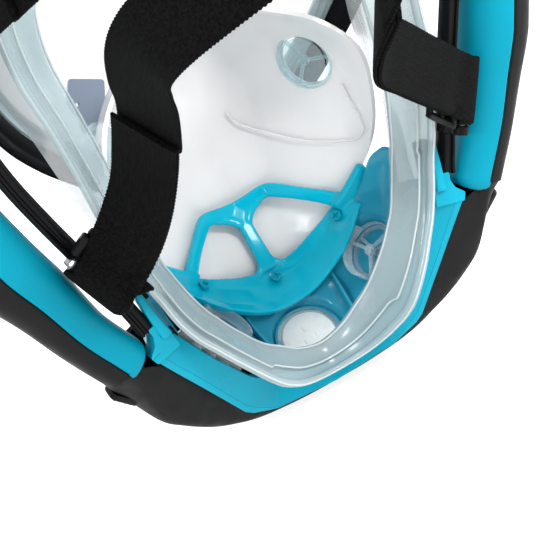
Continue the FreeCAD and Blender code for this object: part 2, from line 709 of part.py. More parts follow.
export("drain_valve_seat", placed(spoked_seat(DRAIN_R - 0.1, SEAT_TALL, 3.0), DRAIN, DRAIN_AXIS))
export("drain_valve_flap", placed(flap(DRAIN_R - 2.0), DRAIN - DRAIN_AXIS * SEAT_TALL, DRAIN_AXIS * -1))
export("drain_cover", placed(make_drain_cover(), DRAIN - DRAIN_AXIS * COVER_BELOW, DRAIN_AXIS))
side_base = SIDE_VALVE - SIDE_AXIS * SEAT_TALL
export_pair("side_valve_seat", placed(spoked_seat(SIDE_VALVE_R - 0.1, SEAT_TALL, 2.4), SIDE_VALVE, SIDE_AXIS))
export_pair("side_valve_flap", placed(flap(SIDE_VALVE_R - 2.2), side_base, SIDE_AXIS * -1))
export_pair("side_valve_cage", placed(make_cage(SIDE_CAGE_R), SIDE_VALVE, SIDE_AXIS))
cheek_seat = spoked_seat(CHEEK_VALVE_R, SEAT_TALL, 2.4)
export_pair("cheek_valve_seat", placed(cheek_seat, CHEEK_VALVE, CHEEK_AXIS * -1))
export_pair("cheek_valve_flap", placed(flap(CHEEK_VALVE_R - 2.4), CHEEK_VALVE, CHEEK_AXIS * -1))

export_pair("tube_back", tube_shell(SEAM_BACK, SEAM_FRONT))
export_pair("tube_front", tube_shell(SEAM_FRONT + 0.5, SEAM_BACK + 359.5))
export_pair("tube_seal", make_socket_seal())
export_pair("float_cage", make_float_cage())
export_pair("float_body", make_float())
export_pair("float_seal", make_float_seal())
export_pair("float_cap", make_cap())
export_pair("tube_latch", make_latch())

export_pair("lower_buckle", buckle_at(LOW_PIN, LOW_PIN_AXIS, LOW_PULL))
export_pair("upper_buckle", buckle_at(TOP_PIN, TOP_PIN_AXIS, TOP_PULL))
pins = [pin_at(LOW_PIN, LOW_PIN_AXIS), pin_at(TOP_PIN, TOP_PIN_AXIS)]
export("buckle_pins", Part.makeCompound(pins + [mirrored(p) for p in pins]))
export_pair("lower_strap_end", strap_end(LOW_PIN, LOW_PIN_AXIS, LOW_PULL))
export_pair("upper_strap_end", strap_end(TOP_PIN, TOP_PIN_AXIS, TOP_PULL))
export_pair("lower_strap", strap_solid(LOW_STRAP))
export_pair("upper_strap", strap_solid(TOP_STRAP))
export("strap_pad", make_pad())
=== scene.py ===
"""Full-face snorkel mask: the looks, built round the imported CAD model.

Lengths in the tables below are millimetres in the model's own frame (+Z up to the forehead, +Y to
the wearer, +X to the wearer's left) and turn into metres where a mesh is made.
"""
import math

import bmesh
import bpy
from mathutils import Matrix, Vector


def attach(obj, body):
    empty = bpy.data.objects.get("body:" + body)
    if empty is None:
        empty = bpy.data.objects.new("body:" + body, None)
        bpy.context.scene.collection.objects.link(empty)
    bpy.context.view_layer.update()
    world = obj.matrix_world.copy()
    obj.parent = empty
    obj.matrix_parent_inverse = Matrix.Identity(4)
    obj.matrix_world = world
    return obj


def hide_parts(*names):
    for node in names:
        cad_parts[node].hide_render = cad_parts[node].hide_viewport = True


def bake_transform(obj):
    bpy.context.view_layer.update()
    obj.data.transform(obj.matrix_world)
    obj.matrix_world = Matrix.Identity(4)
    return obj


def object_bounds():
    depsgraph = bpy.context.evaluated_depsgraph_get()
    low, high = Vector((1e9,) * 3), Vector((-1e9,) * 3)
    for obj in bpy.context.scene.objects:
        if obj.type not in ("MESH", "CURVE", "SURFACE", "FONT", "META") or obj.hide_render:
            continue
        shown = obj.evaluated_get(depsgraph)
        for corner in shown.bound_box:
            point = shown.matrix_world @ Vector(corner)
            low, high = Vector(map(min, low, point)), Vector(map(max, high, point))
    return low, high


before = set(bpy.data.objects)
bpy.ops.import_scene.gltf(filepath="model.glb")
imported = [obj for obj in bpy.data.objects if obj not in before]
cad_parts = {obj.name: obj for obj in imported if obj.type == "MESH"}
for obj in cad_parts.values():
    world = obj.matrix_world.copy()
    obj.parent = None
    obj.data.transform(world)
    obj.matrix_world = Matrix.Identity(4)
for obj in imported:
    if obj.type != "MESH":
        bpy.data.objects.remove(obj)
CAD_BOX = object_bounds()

MM = 0.001

# ---- driving dimensions, the CAD model's own but for the thickness of the straps ---------------
LENS_FRONT = 100.0
LENS_HALF = 96.0
LENS_THICK = 2.5
LENS_EDGE = 4.2
SKIN = 1.8
SHELL = 2.5
TUBE_SIDE = 15.0
TUBE_DEEP = 17.0
TUBE_WALL = 2.2
SEAM_FRONT = 202.0
SEAM_BACK = 80.0
STRAP_WIDE = 26.0
STRAP_THICK = 1.8           # one layer of webbing; there are up to three
PIN_R = 1.6
KNUCKLE_LONG = 20.0
EAR_LONG = 4.0
CLEAR = 0.4
DRAIN_R = 14.0
SIDE_VALVE_R = 12.0
CHEEK_VALVE_R = 13.0
CAGE_R = 17.0
CAGE_TALL = 34.0


def unit(v):
    return Vector(v).normalized()


def flip(v):
    return Vector((-v[0], v[1], v[2]))


# ---- curves and outlines -----------------------------------------------------------------------
def smooth_line(points, steps, loop=False):
    """Points along a smooth curve through POINTS, with STEPS to each span."""
    points = [Vector(p) for p in points]
    count = len(points)
    found = []
    for i in range(count if loop else count - 1):
        if loop:
            a, b, c, d = (points[(i + k) % count] for k in (-1, 0, 1, 2))
        else:
            b, c = points[i], points[i + 1]
            a = points[i - 1] if i > 0 else b * 2 - c
            d = points[i + 2] if i + 2 < count else c * 2 - b
        for k in range(steps):
            t = k / steps
            bend = (a * 2 - b * 5 + c * 4 - d) * t * t + (b * 3 - a - c * 3 + d) * t ** 3
            found.append((b * 2 + (c - a) * t + bend) * 0.5)
    if not loop:
        found.append(points[-1].copy())
    return found


def smooth_rows(rows, steps, loop=False):
    """More rows between ROWS, each point of a row following its own smooth curve."""
    columns = [smooth_line([row[k] for row in rows], steps, loop) for k in range(len(rows[0]))]
    return [list(row) for row in zip(*columns)]


def both_halves(rows):
    """Rows from a half that starts in the plane X = 0, with the mirrored half put before it."""
    return [[flip(p) for p in row] for row in rows[:0:-1]] + rows


def rounded(corners, radius, steps=3):
    """A closed outline with every corner of CORNERS cut by a smooth arc."""
    found = []
    count = len(corners)
    for i, p in enumerate(corners):
        before, after = corners[i - 1], corners[(i + 1) % count]
        start = p + unit(before - p) * min(radius, (before - p).length * 0.45)
        end = p + unit(after - p) * min(radius, (after - p).length * 0.45)
        for k in range(steps + 1):
            t = k / steps
            found.append(start.lerp(p, t).lerp(p.lerp(end, t), t))
    return found


def axes(points, i, across):
    """The direction along a line at point I, and two more square to it, the first near ACROSS."""
    ahead = unit(points[min(i + 1, len(points) - 1)] - points[max(i - 1, 0)])
    across = Vector(across)
    wide = unit(across - ahead * across.dot(ahead))
    return ahead, wide, unit(ahead.cross(wide))


def ring_frame(axis):
    """Two directions square to AXIS and to each other."""
    axis = unit(axis)
    guide = Vector((1, 0, 0)) if abs(axis.x) < 0.8 else Vector((0, 1, 0))
    first = unit(guide - axis * guide.dot(axis))
    return first, axis.cross(first)


# ---- shapes ------------------------------------------------------------------------------------
class Shape:
    """The points and faces of one piece, gathered patch by patch."""

    def __init__(self):
        self.points = []
        self.faces = []

    def add(self, points, faces):
        base = len(self.points)
        self.points += [Vector(p) for p in points]
        self.faces += [[base + k for k in face] for face in faces]
        return self

    def skin(self, rows, ring=True, loop=False, caps=True):
        """A surface through ROWS. RING closes each row, LOOP joins the last row to the first."""
        count = len(rows[0])
        faces = []
        for i in range(len(rows) if loop else len(rows) - 1):
            a = i * count
            b = (i + 1) % len(rows) * count
            for k in range(count if ring else count - 1):
                n = (k + 1) % count
                faces.append([a + k, a + n, b + n, b + k])
        if caps and ring and not loop:
            last = (len(rows) - 1) * count
            faces.append(list(range(count)))
            faces.append([last + k for k in range(count)])
        return self.add([p for row in rows for p in row], faces)

    def bar(self, line, across, wide, deep, radius, steps=4):
        """A rounded bar along LINE, WIDE along ACROSS. WIDE and DEEP may be one value a point."""
        wide = wide if isinstance(wide, (list, tuple)) else [wide] * len(line)
        deep = deep if isinstance(deep, (list, tuple)) else [deep] * len(line)
        dense = smooth_line([(*p, w, d) for p, w, d in zip(line, wide, deep)], steps)
        centres = [Vector(p[:3]) for p in dense]
        rows = []
        for i, p in enumerate(dense):
            _, w, n = axes(centres, i, across)
            w, n, c = w * (p[3] / 2), n * (p[4] / 2), centres[i]
            rows.append(rounded([c + w + n, c - w + n, c - w - n, c + w - n], radius))
        return self.skin(softened(rows, radius))

    def turned(self, profile, origin, axis, steps=48, start=0.0, stop=360.0):
        """PROFILE, (radius, height) pairs, turned about AXIS; a closed ring if it goes all round."""
        u, v = ring_frame(axis)
        axis = unit(axis)
        whole = stop - start >= 360.0
        rows = []
        for k in range(steps if whole else steps + 1):
            a = math.radians(start + (stop - start) * k / steps)
            out = u * math.cos(a) + v * math.sin(a)
            rows.append([Vector(origin) + out * r + axis * h for r, h in profile])
        return self.skin(rows, loop=whole)

    def spokes(self, hub, axis, first, reach, drop, wide, deep):
        """Three spokes round HUB, the first at FIRST degrees; they DROP on the way out to REACH."""
        u, v = ring_frame(axis)
        for k in range(3):
            a = math.radians(120 * k + first)
            way = u * math.cos(a) + v * math.sin(a)
            self.bar([hub, hub + way * reach - axis * drop], axis.cross(way), wide, deep, 0.4)
        return self

    def mirrored(self):
        other = Shape()
        return other.add([flip(p) for p in self.points], [face[::-1] for face in self.faces])

    def with_mirror(self):
        other = self.mirrored()
        return self.add(other.points, other.faces)


def softened(rows, radius):
    """ROWS with both ends closed by two smaller rows, so that the ends are round too."""
    found = []
    for row, beside, order in ((rows[0], rows[1], 1), (rows[-1], rows[-2], -1)):
        centre = sum(row, Vector()) / len(row)
        inward = unit(sum(beside, Vector()) / len(beside) - centre)
        size = max((p - centre).length for p in row)
        reach = min(radius, size * 0.45)
        small = [p.lerp(centre, reach / size) for p in row]
        middle = [p.lerp(centre, 0.3 * reach / size) + inward * (0.3 * reach) for p in row]
        start = [p + inward * reach for p in row]
        found.append([small, middle, start][::order])
    return found[0] + rows[1:-1] + found[1]


# ---- materials ---------------------------------------------------------------------------------
MILKY_BELOW = -18.0         # the skirt is thick and milky below this height
CLEAR_ABOVE = 15.0          # and thin and clear above this one
MILKY_SLOPE = 0.45          # both are higher on the wearer's right, by this much a millimetre of X


class Paint:
    """One procedural material: a Principled shader, with helpers for the nodes that feed it."""

    def __init__(self, name, colour, rough, **sockets):
        self.name = name
        self.made = bpy.data.materials.new(name)
        self.made.use_nodes = True
        self.tree = self.made.node_tree
        self.shader = self.tree.nodes["Principled BSDF"]
        self.shader.inputs["Base Color"].default_value = (*colour, 1)
        self.shader.inputs["Roughness"].default_value = rough
        for socket, value in sockets.items():
            self.shader.inputs[socket.replace("_", " ")].default_value = value
        self.colour = colour
        self.rough = rough
        self.space = self.node("ShaderNodeTexCoord").outputs["Object"]
        self.heights = []

    def node(self, kind, links=(), **values):
        made = self.tree.nodes.new(kind)
        for name, value in values.items():
            if hasattr(made, name):
                setattr(made, name, value)
            else:
                made.inputs[name.replace("_", " ")].default_value = value
        for socket, source in links:
            self.tree.links.new(source, made.inputs[socket])
        return made

    def noise(self, per_metre, detail=3.0, stretch=None):
        space = self.space
        if stretch:
            space = self.node("ShaderNodeMapping", [("Vector", space)], Scale=stretch).outputs[0]
        made = self.node("ShaderNodeTexNoise", [("Vector", space)], Scale=per_metre, Detail=detail)
        return made.outputs["Fac"]

    def ramp(self, source, low, high, first, last):
        """SOURCE between LOW and HIGH, spread from FIRST to LAST."""
        made = self.node("ShaderNodeMapRange", [("Value", source)])
        for k, value in enumerate((low, high, first, last)):
            made.inputs[k + 1].default_value = value
        return made.outputs[0]

    def mottle(self, per_metre, share, detail=3.0, other=None):
        """Colour that drifts between the base and a darker, or OTHER, colour by up to SHARE."""
        drift = self.ramp(self.noise(per_metre, detail), 0.35, 0.65, 0.0, share)
        mix = self.node("ShaderNodeMix", data_type="RGBA")
        mix.inputs[6].default_value = (*self.colour, 1)
        mix.inputs[7].default_value = (*(other or [c * 0.55 for c in self.colour]), 1)
        self.tree.links.new(drift, mix.inputs[0])
        self.tree.links.new(mix.outputs[2], self.shader.inputs["Base Color"])
        return self

    def scuffed(self, per_metre, spread):
        """Roughness that wanders by SPREAD about its middle value."""
        wander = self.ramp(self.noise(per_metre), 0.3, 0.7, self.rough - spread, self.rough + spread)
        self.tree.links.new(wander, self.shader.inputs["Roughness"])
        return self

    def raised(self, height, depth, strength=1.0):
        """Bump from HEIGHT, a 0 to 1 signal, DEPTH millimetres deep. Several calls add up."""
        links = [("Height", height)] + [("Normal", n) for n in self.heights[-1:]]
        bump = self.node("ShaderNodeBump", links, Strength=strength, Distance=depth * MM)
        self.heights.append(bump.outputs[0])
        self.tree.links.new(bump.outputs[0], self.shader.inputs["Normal"])
        return self

    def clear(self, tint, thin, edge, chin=None):
        """Lets the view through: solid by THIN face on, and by EDGE where the surface turns away."""
        weight = self.node("ShaderNodeLayerWeight", Blend=0.35).outputs["Facing"]
        solid = self.ramp(weight, 0.0, 1.0, thin, edge)
        if chin:
            parts = self.node("ShaderNodeSeparateXYZ", [("Vector", self.space)]).outputs
            links = [(0, parts["X"]), (2, parts["Z"])]
            height = self.node("ShaderNodeMath", links, operation="MULTIPLY_ADD")
            height.inputs[1].default_value = MILKY_SLOPE
            low = self.ramp(height.outputs[0], MILKY_BELOW * MM, CLEAR_ABOVE * MM, 1.0, 0.0)
            thick = self.ramp(weight, 0.0, 1.0, chin, 0.5 + chin / 2)
            blend = self.node("ShaderNodeMix", [(0, low), (2, solid), (3, thick)])
            solid = blend.outputs[0]
        open_way = self.node("ShaderNodeBsdfTransparent", Color=(*tint, 1))
        links = [(0, solid), (1, open_way.outputs[0]), (2, self.shader.outputs[0])]
        mix = self.node("ShaderNodeMixShader", links)
        output = self.tree.nodes["Material Output"]
        self.tree.links.new(mix.outputs[0], output.inputs["Surface"])
        return self


def plastic(name, colour, rough, grain=900.0, depth=0.02, coat=0.0, mottling=0.12, shine=0.5):
    """Moulded plastic: faint flow in the colour, a fine grain and uneven gloss."""
    paint = Paint(name, colour, rough, Coat_Weight=coat, Coat_Roughness=0.06, Specular_IOR_Level=shine)
    paint.mottle(55.0, mottling).scuffed(140.0, rough * 0.25)
    paint.raised(paint.noise(grain, 4.0), depth)
    return paint


def silicone(name, colour, rough, tint, thin, edge, chin=None):
    """Clear silicone: milky, a little wavy, with a soft skin gloss. CHIN is THIN at the chin."""
    paint = Paint(name, colour, rough, Coat_Weight=0.25, Coat_Roughness=0.15, IOR=1.41)
    paint.mottle(30.0, 0.35, other=[c * 0.86 for c in colour]).scuffed(60.0, 0.06)
    paint.raised(paint.noise(45.0, 2.0), 0.5, 0.35)
    return paint.clear(tint, thin, edge, chin)


def knit(name, colour):
    """Black elastic webbing: lengthways ribs crossed by fine rows of stitches."""
    paint = Paint(name, colour, 0.85, Sheen_Weight=0.006, Sheen_Roughness=0.5, Specular_IOR_Level=0.04)
    paint.mottle(900.0, 0.5, other=(0.008, 0.008, 0.0083))
    paths = paint.node("ShaderNodeUVMap", uv_map="weave").outputs[0]
    for direction, turns, depth in (("X", 7.5, 0.16), ("Y", 6.28, 0.16)):
        wave = paint.node("ShaderNodeTexWave", [("Vector", paths)], bands_direction=direction)
        wave.inputs["Scale"].default_value = turns
        wave.inputs["Distortion"].default_value = 0.6
        wave.inputs["Detail Scale"].default_value = 6.0
        paint.raised(wave.outputs["Fac"], depth, 0.8)
    return paint.raised(paint.noise(2600.0, 3.0), 0.08, 0.6)


WATER = (0.82, 0.91, 0.93)
FINISH = {paint.name: paint for paint in (
    plastic("frame_black", (0.004, 0.004, 0.0045), 0.34, shine=0.10),
    plastic("shroud_black", (0.0135, 0.0135, 0.0138), 0.55, 2600.0, 0.05, shine=0.06),
    plastic("tube_black", (0.011, 0.011, 0.0115), 0.45, 2600.0, 0.05, shine=0.07),
    # A black tab lightened to grey-blue: painted haze of light from the clear silicone it is seen through.
    plastic("tab_grey_painted_haze", (0.20, 0.245, 0.32), 0.40),
    plastic("teal_gloss", (0.0004, 0.42, 0.585), 0.13, depth=0.01, coat=0.26, shine=0.08),
    plastic("teal_band", (0.001, 0.315, 0.44), 0.34, coat=0.06, shine=0.12),
    plastic("teal_matte", (0.0004, 0.235, 0.335), 0.42, 2200.0, 0.03, shine=0.08),
    silicone("teal_clear", (0.025, 0.32, 0.47), 0.10, (0.30, 0.78, 0.90), 0.78, 0.93),
    silicone("lens_clear", (0.66, 0.70, 0.72), 0.05, (0.975, 0.98, 0.98), 0.12, 0.45),
    silicone("cup_clear", (0.80, 0.79, 0.79), 0.14, (0.97, 0.975, 0.98), 0.88, 0.95),
    silicone("silicone_clear", (0.34, 0.43, 0.45), 0.24, (0.92, 0.96, 0.97), 0.14, 0.80, 0.58),
    silicone("silicone_bead", (0.35, 0.43, 0.45), 0.20, (0.90, 0.96, 0.97), 0.55, 0.85, 0.66),
    # A whiter, more solid silicone for the skirt's ribs: painted highlight lines along its creases and edges.
    silicone("silicone_rib_painted_highlight", (0.56, 0.62, 0.63), 0.12, (0.95, 0.98, 0.98), 0.45, 0.85, 0.80),
    silicone("silicone_wall", (0.76, 0.78, 0.79), 0.18, (0.95, 0.97, 0.98), 0.28, 0.60, 0.35),
    silicone("valve_clear", (0.80, 0.87, 0.89), 0.08, WATER, 0.12, 0.62),
    plastic("valve_white", (0.72, 0.75, 0.75), 0.28, mottling=0.05),
    plastic("flap_white", (0.66, 0.69, 0.69), 0.40, mottling=0.08),
    silicone("ledge_grey", (0.30, 0.31, 0.31), 0.18, (0.75, 0.78, 0.78), 0.55, 0.85),
    plastic("seal_grey", (0.22, 0.24, 0.25), 0.55),
    plastic("float_teal", (0.01, 0.30, 0.42), 0.35),
    plastic("pad_black", (0.010, 0.010, 0.011), 0.62, 1800.0, 0.08, shine=0.2),
    knit("strap_black", (0.0015, 0.0015, 0.0016)),
    Paint("pin_steel", (0.55, 0.56, 0.57), 0.28, Metallic=1.0).mottle(300.0, 0.2).scuffed(600.0, 0.08),
)}
SHARP = 38.0                # edges that turn more than this many degrees stay crisp


WELD = 0.01                 # points of a piece that are nearer than this are joined
CUTTER_WELD = 0.05
BEVEL_ANGLE = 32.0


def closed_mesh(name, shape, weld):
    """SHAPE as a mesh, with points nearer than WELD joined and every face turned outwards."""
    mesh = bpy.data.meshes.new(name)
    mesh.from_pydata([p * MM for p in shape.points], [], shape.faces)
    work = bmesh.new()
    work.from_mesh(mesh)
    bmesh.ops.remove_doubles(work, verts=work.verts, dist=weld * MM)
    bmesh.ops.recalc_face_normals(work, faces=work.faces)
    work.to_mesh(mesh)
    work.free()
    return mesh


def linked(name, data):
    """A new object with DATA, put into the scene."""
    made = bpy.data.objects.new(name, data)
    bpy.context.scene.collection.objects.link(made)
    return made


def piece(name, shape, finish, body="mask", stands_for=(), slot=None, sharp=SHARP, bevel=0.0):
    """Makes SHAPE a Blender object that rides on BODY and stands for the CAD nodes STANDS_FOR."""
    mesh = closed_mesh(name, shape, WELD)
    made = linked(name, mesh)
    mesh.materials.append(FINISH[finish].made)
    mesh.shade_smooth()
    mesh.set_sharp_from_angle(angle=math.radians(sharp))
    if bevel:
        round_off = made.modifiers.new("edges", "BEVEL")
        round_off.width = bevel * MM
        round_off.segments = 2
        round_off.angle_limit = math.radians(BEVEL_ANGLE)
    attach(made, body)
    if stands_for:
        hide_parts(*stands_for)
    return made


def pair(name, shape, finish, nodes=(), body=None, **rest):
    """The left piece SHAPE and its mirror image. BODY is the bodies' name without the side."""
    made = []
    for side, form in (("left", shape), ("right", shape.mirrored())):
        names = ["%s_%s" % (n, side) for n in nodes]
        rides = "%s_%s" % (body, side) if body else "mask"
        made.append(piece("%s_%s" % (name, side), form, finish, rides, names, **rest))
    return made


def apply_modifiers(made):
    graph = bpy.context.evaluated_depsgraph_get()
    mesh = bpy.data.meshes.new_from_object(made.evaluated_get(graph))
    made.modifiers.clear()
    made.data = mesh


def cut_out(made, shape):
    """Takes the closed SHAPE away from the mesh of MADE."""
    tool = linked("cutter", closed_mesh("cutter", shape, CUTTER_WELD))
    cut = made.modifiers.new("cut", "BOOLEAN")
    cut.operation = "DIFFERENCE"
    cut.solver = "EXACT"
    cut.object = tool
    apply_modifiers(made)
    bpy.data.objects.remove(tool)


def plug(radius, half, place, axis, steps=48):
    """A round cutter that reaches HALF its length either way from PLACE."""
    profile = [(0.01, -half), (radius, -half), (radius, half), (0.01, half)]
    return Shape().turned(profile, place, axis, steps)


# ---- window, its rim and its gasket ------------------------------------------------------------
def lens_y(x, z):
    """Front surface of the window: a wide curve that leans back above the eyes."""
    side = 64.0 * (x / LENS_HALF) ** 2
    lean = 35.0 * ((z - 30) / 119) ** 2 if z > 30 else 5.0 * ((30 - z) / 42) ** 2
    return -LENS_FRONT + side + lean


RIM_LINE = [(0, -12), (25, -10), (49, -4), (66.5, 11.5), (78, 25), (86.5, 39), (93, 58), (96, 80),
            (93.5, 102), (84, 120), (66, 134), (44, 143), (22, 147.5), (0, 149)]
RIM_STEPS = 6


def rim_outline():
    """The rim's outer line, all round, as points in the plane Y = 0."""
    half = [Vector((x, 0, z)) for x, z in RIM_LINE]
    return smooth_line(half + [flip(p) for p in half[-2:0:-1]], RIM_STEPS, loop=True)


def rim_rows(profile):
    """One row a point of the rim's line, from PROFILE's (inset, depth) pairs."""
    line = rim_outline()
    rows = []
    for i, p in enumerate(line):
        along = unit(line[(i + 1) % len(line)] - line[i - 1])
        inward = Vector((-along.z, 0, along.x))
        row = []
        for inset, depth in profile:
            q = p + inward * inset
            row.append(Vector((q.x, lens_y(q.x, q.z) + depth, q.z)))
        rows.append(row)
    return rows


def make_window():
    # Profiles are pairs of how far in from the rim's line and how far behind the window's front.
    rim = [(0, 0.2), (0.5, -0.9), (1.6, -1.5), (7.6, -1.5), (8.7, -1.0), (9.0, -0.1), (4.4, 0.0), (4.2, 0.3),
           (4.2, 2.3), (4.5, 2.6), (8.8, 2.6), (9.0, 3.0), (9.0, 5.9), (8.5, 6.5), (4.6, 6.5), (4.2, 6.1),
           (3.2, 6.1), (2.8, 6.5), (0.8, 6.5), (0, 5.8), (0, 4.4), (-0.8, 4.1), (-0.8, 2.6), (0, 2.3)]
    shape = Shape().skin(rim_rows(rim), loop=True)
    piece("visor_rim", shape, "frame_black", stands_for=["visor_rim"], sharp=50)
    beads = [(9.2, 2.7), (9.2, 6.6), (9.8, 7.6), (10.8, 7.6), (11.3, 6.4), (12.0, 5.8), (12.8, 6.2),
             (13.2, 7.4), (14.2, 8.2), (15.2, 7.6), (15.6, 6.0), (15.2, 3.6), (14.6, 2.7)]
    piece("lens_seal_ring", Shape().skin(rim_rows(beads), loop=True), "silicone_bead",
          stands_for=["lens_gasket"], slot="silicone_clear", sharp=70)
    line = [p.copy() for p in rim_outline()]
    centre = Vector((0, 0, 72))
    shares = [0.03, 0.2, 0.4, 0.6, 0.76, 0.88, 0.96, 1.0]
    rows = []
    for depth, order in ((LENS_THICK, shares), (0.0, shares[::-1])):
        for share in order:
            row = []
            for p in line:
                reach = (p - centre).length
                q = centre + (p - centre) * (share * (reach - LENS_EDGE - 0.2) / reach)
                row.append(Vector((q.x, lens_y(q.x, q.z) + depth, q.z)))
            rows.append(row)
    piece("visor_window", Shape().skin(rows), "lens_clear", stands_for=["visor_lens"], sharp=60)


# A black tab behind the window, low on each side, painted grey-blue as the pale haze of light from the
# silicone it is seen through (painted light): its outline in X and Z, how far its two faces lie behind the
# window's front, and its hole.
TAB_LINE = [(28.2, 38.5), (44.4, 46.5), (50.0, 37.8), (49.1, 32.2), (47.3, 29.6), (49.2, 23.4),
            (43.0, 18.9), (38.0, 17.0)]
TAB_FACES = (3.2, 4.4)
TAB_HOLE = (45.6, 35.1)
TAB_HOLE_R = 1.0
TAB_AXIS = (0.5, -0.85, 0.1)


def make_tabs():
    outline = rounded([Vector((x, 0, z)) for x, z in TAB_LINE], 1.6, 3)
    rows = [[Vector((p.x, lens_y(p.x, p.z) + depth, p.z)) for p in outline] for depth in TAB_FACES]
    x, z = TAB_HOLE
    place = Vector((x, lens_y(x, z) + sum(TAB_FACES) / 2, z))
    tabs = pair("window_tab", Shape().skin(rows), "tab_grey_painted_haze", slot="frame_black")
    for made, turn in zip(tabs, (Vector, flip)):
        cut_out(made, plug(TAB_HOLE_R, 4, turn(place), turn(TAB_AXIS), 24))


# ---- side legs and strap anchors ---------------------------------------------------------------
LEG_LINE = [(72.6, -7.6, -45), (73.5, -7, -41), (76.5, -5, -31), (80.5, -3, -18), (86, -1, -2), (92, 2, 15),
            (98, 6, 34), (101.5, 8, 52), (102, 8, 72), (102, 9, 84), (101, 9, 108)]
LEG_WIDE = 9.0
LEG_DEEP = 6.0
LOW_PIN = Vector((82.5, 8.0, -15.0))
LOW_PIN_AXIS = unit((0.42, 0.07, 0.90))
LOW_PULL = unit((-0.66, 0.58, 0.48))
TOP_PIN = Vector((101.0, 15.5, 93.0))
TOP_PIN_AXIS = unit((-0.12, 0, 0.99))
TOP_PULL = unit((-0.30, 0.94, 0.12))


def leg_section(centre, wide, back):
    """A flat bar with a bevelled shoulder and a groove down the side that faces the wearer."""
    marks = [(-0.50, -0.5), (0.26, -0.5), (0.26, 0.12), (0.19, 0.5), (0.06, 0.5), (0.02, 0.30), (-0.10, 0.30),
             (-0.14, 0.5), (-0.33, 0.5), (-0.50, 0.1)]
    corners = [centre + wide * (a * LEG_WIDE) + back * (b * LEG_DEEP) for a, b in marks]
    return rounded(corners, 0.5, 2)


def ears(shape, centre, axis, root):
    """Two lugs that hold a buckle's pin."""
    for side in (-1, 1):
        start = centre + axis * (side * (KNUCKLE_LONG / 2 + CLEAR))
        ring = [(PIN_R, 0.3), (PIN_R + 0.3, 0), (3.0, 0), (3.4, 0.4), (3.4, EAR_LONG - 0.4), (3.0, EAR_LONG),
                (PIN_R + 0.3, EAR_LONG), (PIN_R, EAR_LONG - 0.3)]
        shape.turned(ring, start, axis * side, 24)
        foot = start + axis * (side * EAR_LONG / 2) + unit(root) * 2.4
        shape.bar([foot, foot + root * 0.8], axis, EAR_LONG, 5.0, 0.7)
    return shape


def make_legs():
    line = smooth_line(LEG_LINE, 4)
    rows = []
    for i, p in enumerate(line):
        ahead, wide, _ = axes(line, i, (1, 0, 0))
        rows.append(leg_section(p, wide, unit(wide.cross(ahead)) * -1))
    leg = Shape().skin(rows)
    leg.bar([(92, -28, 62), (98, -10, 66), (102, 8, 70)], (0, 0, 1), 16, 6, 1.5)
    leg.bar([(93, -27, 104), (98, -10, 102), (102, 9, 98)], (0, 0, 1), 12, 6, 1.5)
    ears(leg, LOW_PIN, LOW_PIN_AXIS, Vector((-0.5, -10.0, 0)))
    ears(leg, TOP_PIN, TOP_PIN_AXIS, Vector((0.5, -6.5, 0)))
    pair("side_leg", leg, "frame_black", ["side_leg"])


# ---- face skirt --------------------------------------------------------------------------------
# Each row: outer edge of the lip, fold where the lip turns in, and the edge that is clamped.
SKIRT_ROWS = [
    ((0, -25, -107.5), (0, -35, -95.5), (0, -34.5, -103)),
    ((15, -19, -104), (11, -33, -92), (17, -32, -98.5)),
    ((26, -8, -96), (20, -29.5, -85), (26.5, -28.5, -93)),
    ((34, 0.6, -87), (28, -27, -78.5), (34, -23.5, -87)),
    ((43.4, 3, -74), (37, -21.5, -66), (43, -18.5, -77.5)),
    ((51, 2, -63), (42, -19, -57.5), (50, -15.5, -66.5)),
    ((56, 1, -55.5), (45.5, -17.5, -51), (54.5, -14, -58)),
    ((60.4, 1, -45.7), (49, -16.5, -42), (59, -13.5, -48)),
    ((64, 3, -33), (52.5, -14.5, -31), (61, -16, -33)),
    ((67.5, 6, -21.5), (55, -12, -21), (66, -24, -18)),
    ((73, 13, 4), (58.5, -6, 3), (70, -42, 10)),
    ((75, 15, 26), (60, -4, 26), (74, -46, 36)),
    ((77, 15.5, 46), (61.5, -4, 46), (79, -40, 53)),
    ((80, 15, 68), (63, -5, 66), (82, -33, 72)),
    ((78, 12, 90), (60, -8, 82), (80, -32, 93)),
    ((67, 4, 107), (51, -15, 95), (71, -37, 111)),
    ((47, -5, 118), (36, -22, 104), (51, -47, 124)),
    ((24, -11, 124), (18, -27, 109), (26, -54, 130)),
    ((0, -13, 126), (0, -28, 111), (0, -56, 132)),
]
SKIRT_STEPS = 5
NOTCH_AT = 34.0             # the crease steps outwards this far from the middle of the chin
# The lip's back face, as (share of the way from fold to edge, height of the face in millimetres).
LIP_FACE = [(0.00, 0.1), (0.025, 0.9), (0.07, 1.3), (0.10, 2.0), (0.135, 1.2), (0.28, 0.6), (0.44, 0.45),
            (0.56, 0.9)]
LIP_END = 0.83
BEAD = [(0.845, -0.9), (0.85, 0.7), (0.875, 1.5), (0.92, 1.9), (0.965, 1.8), (1.0, 1.0), (1.012, 0.0),
        (0.99, -0.9)]


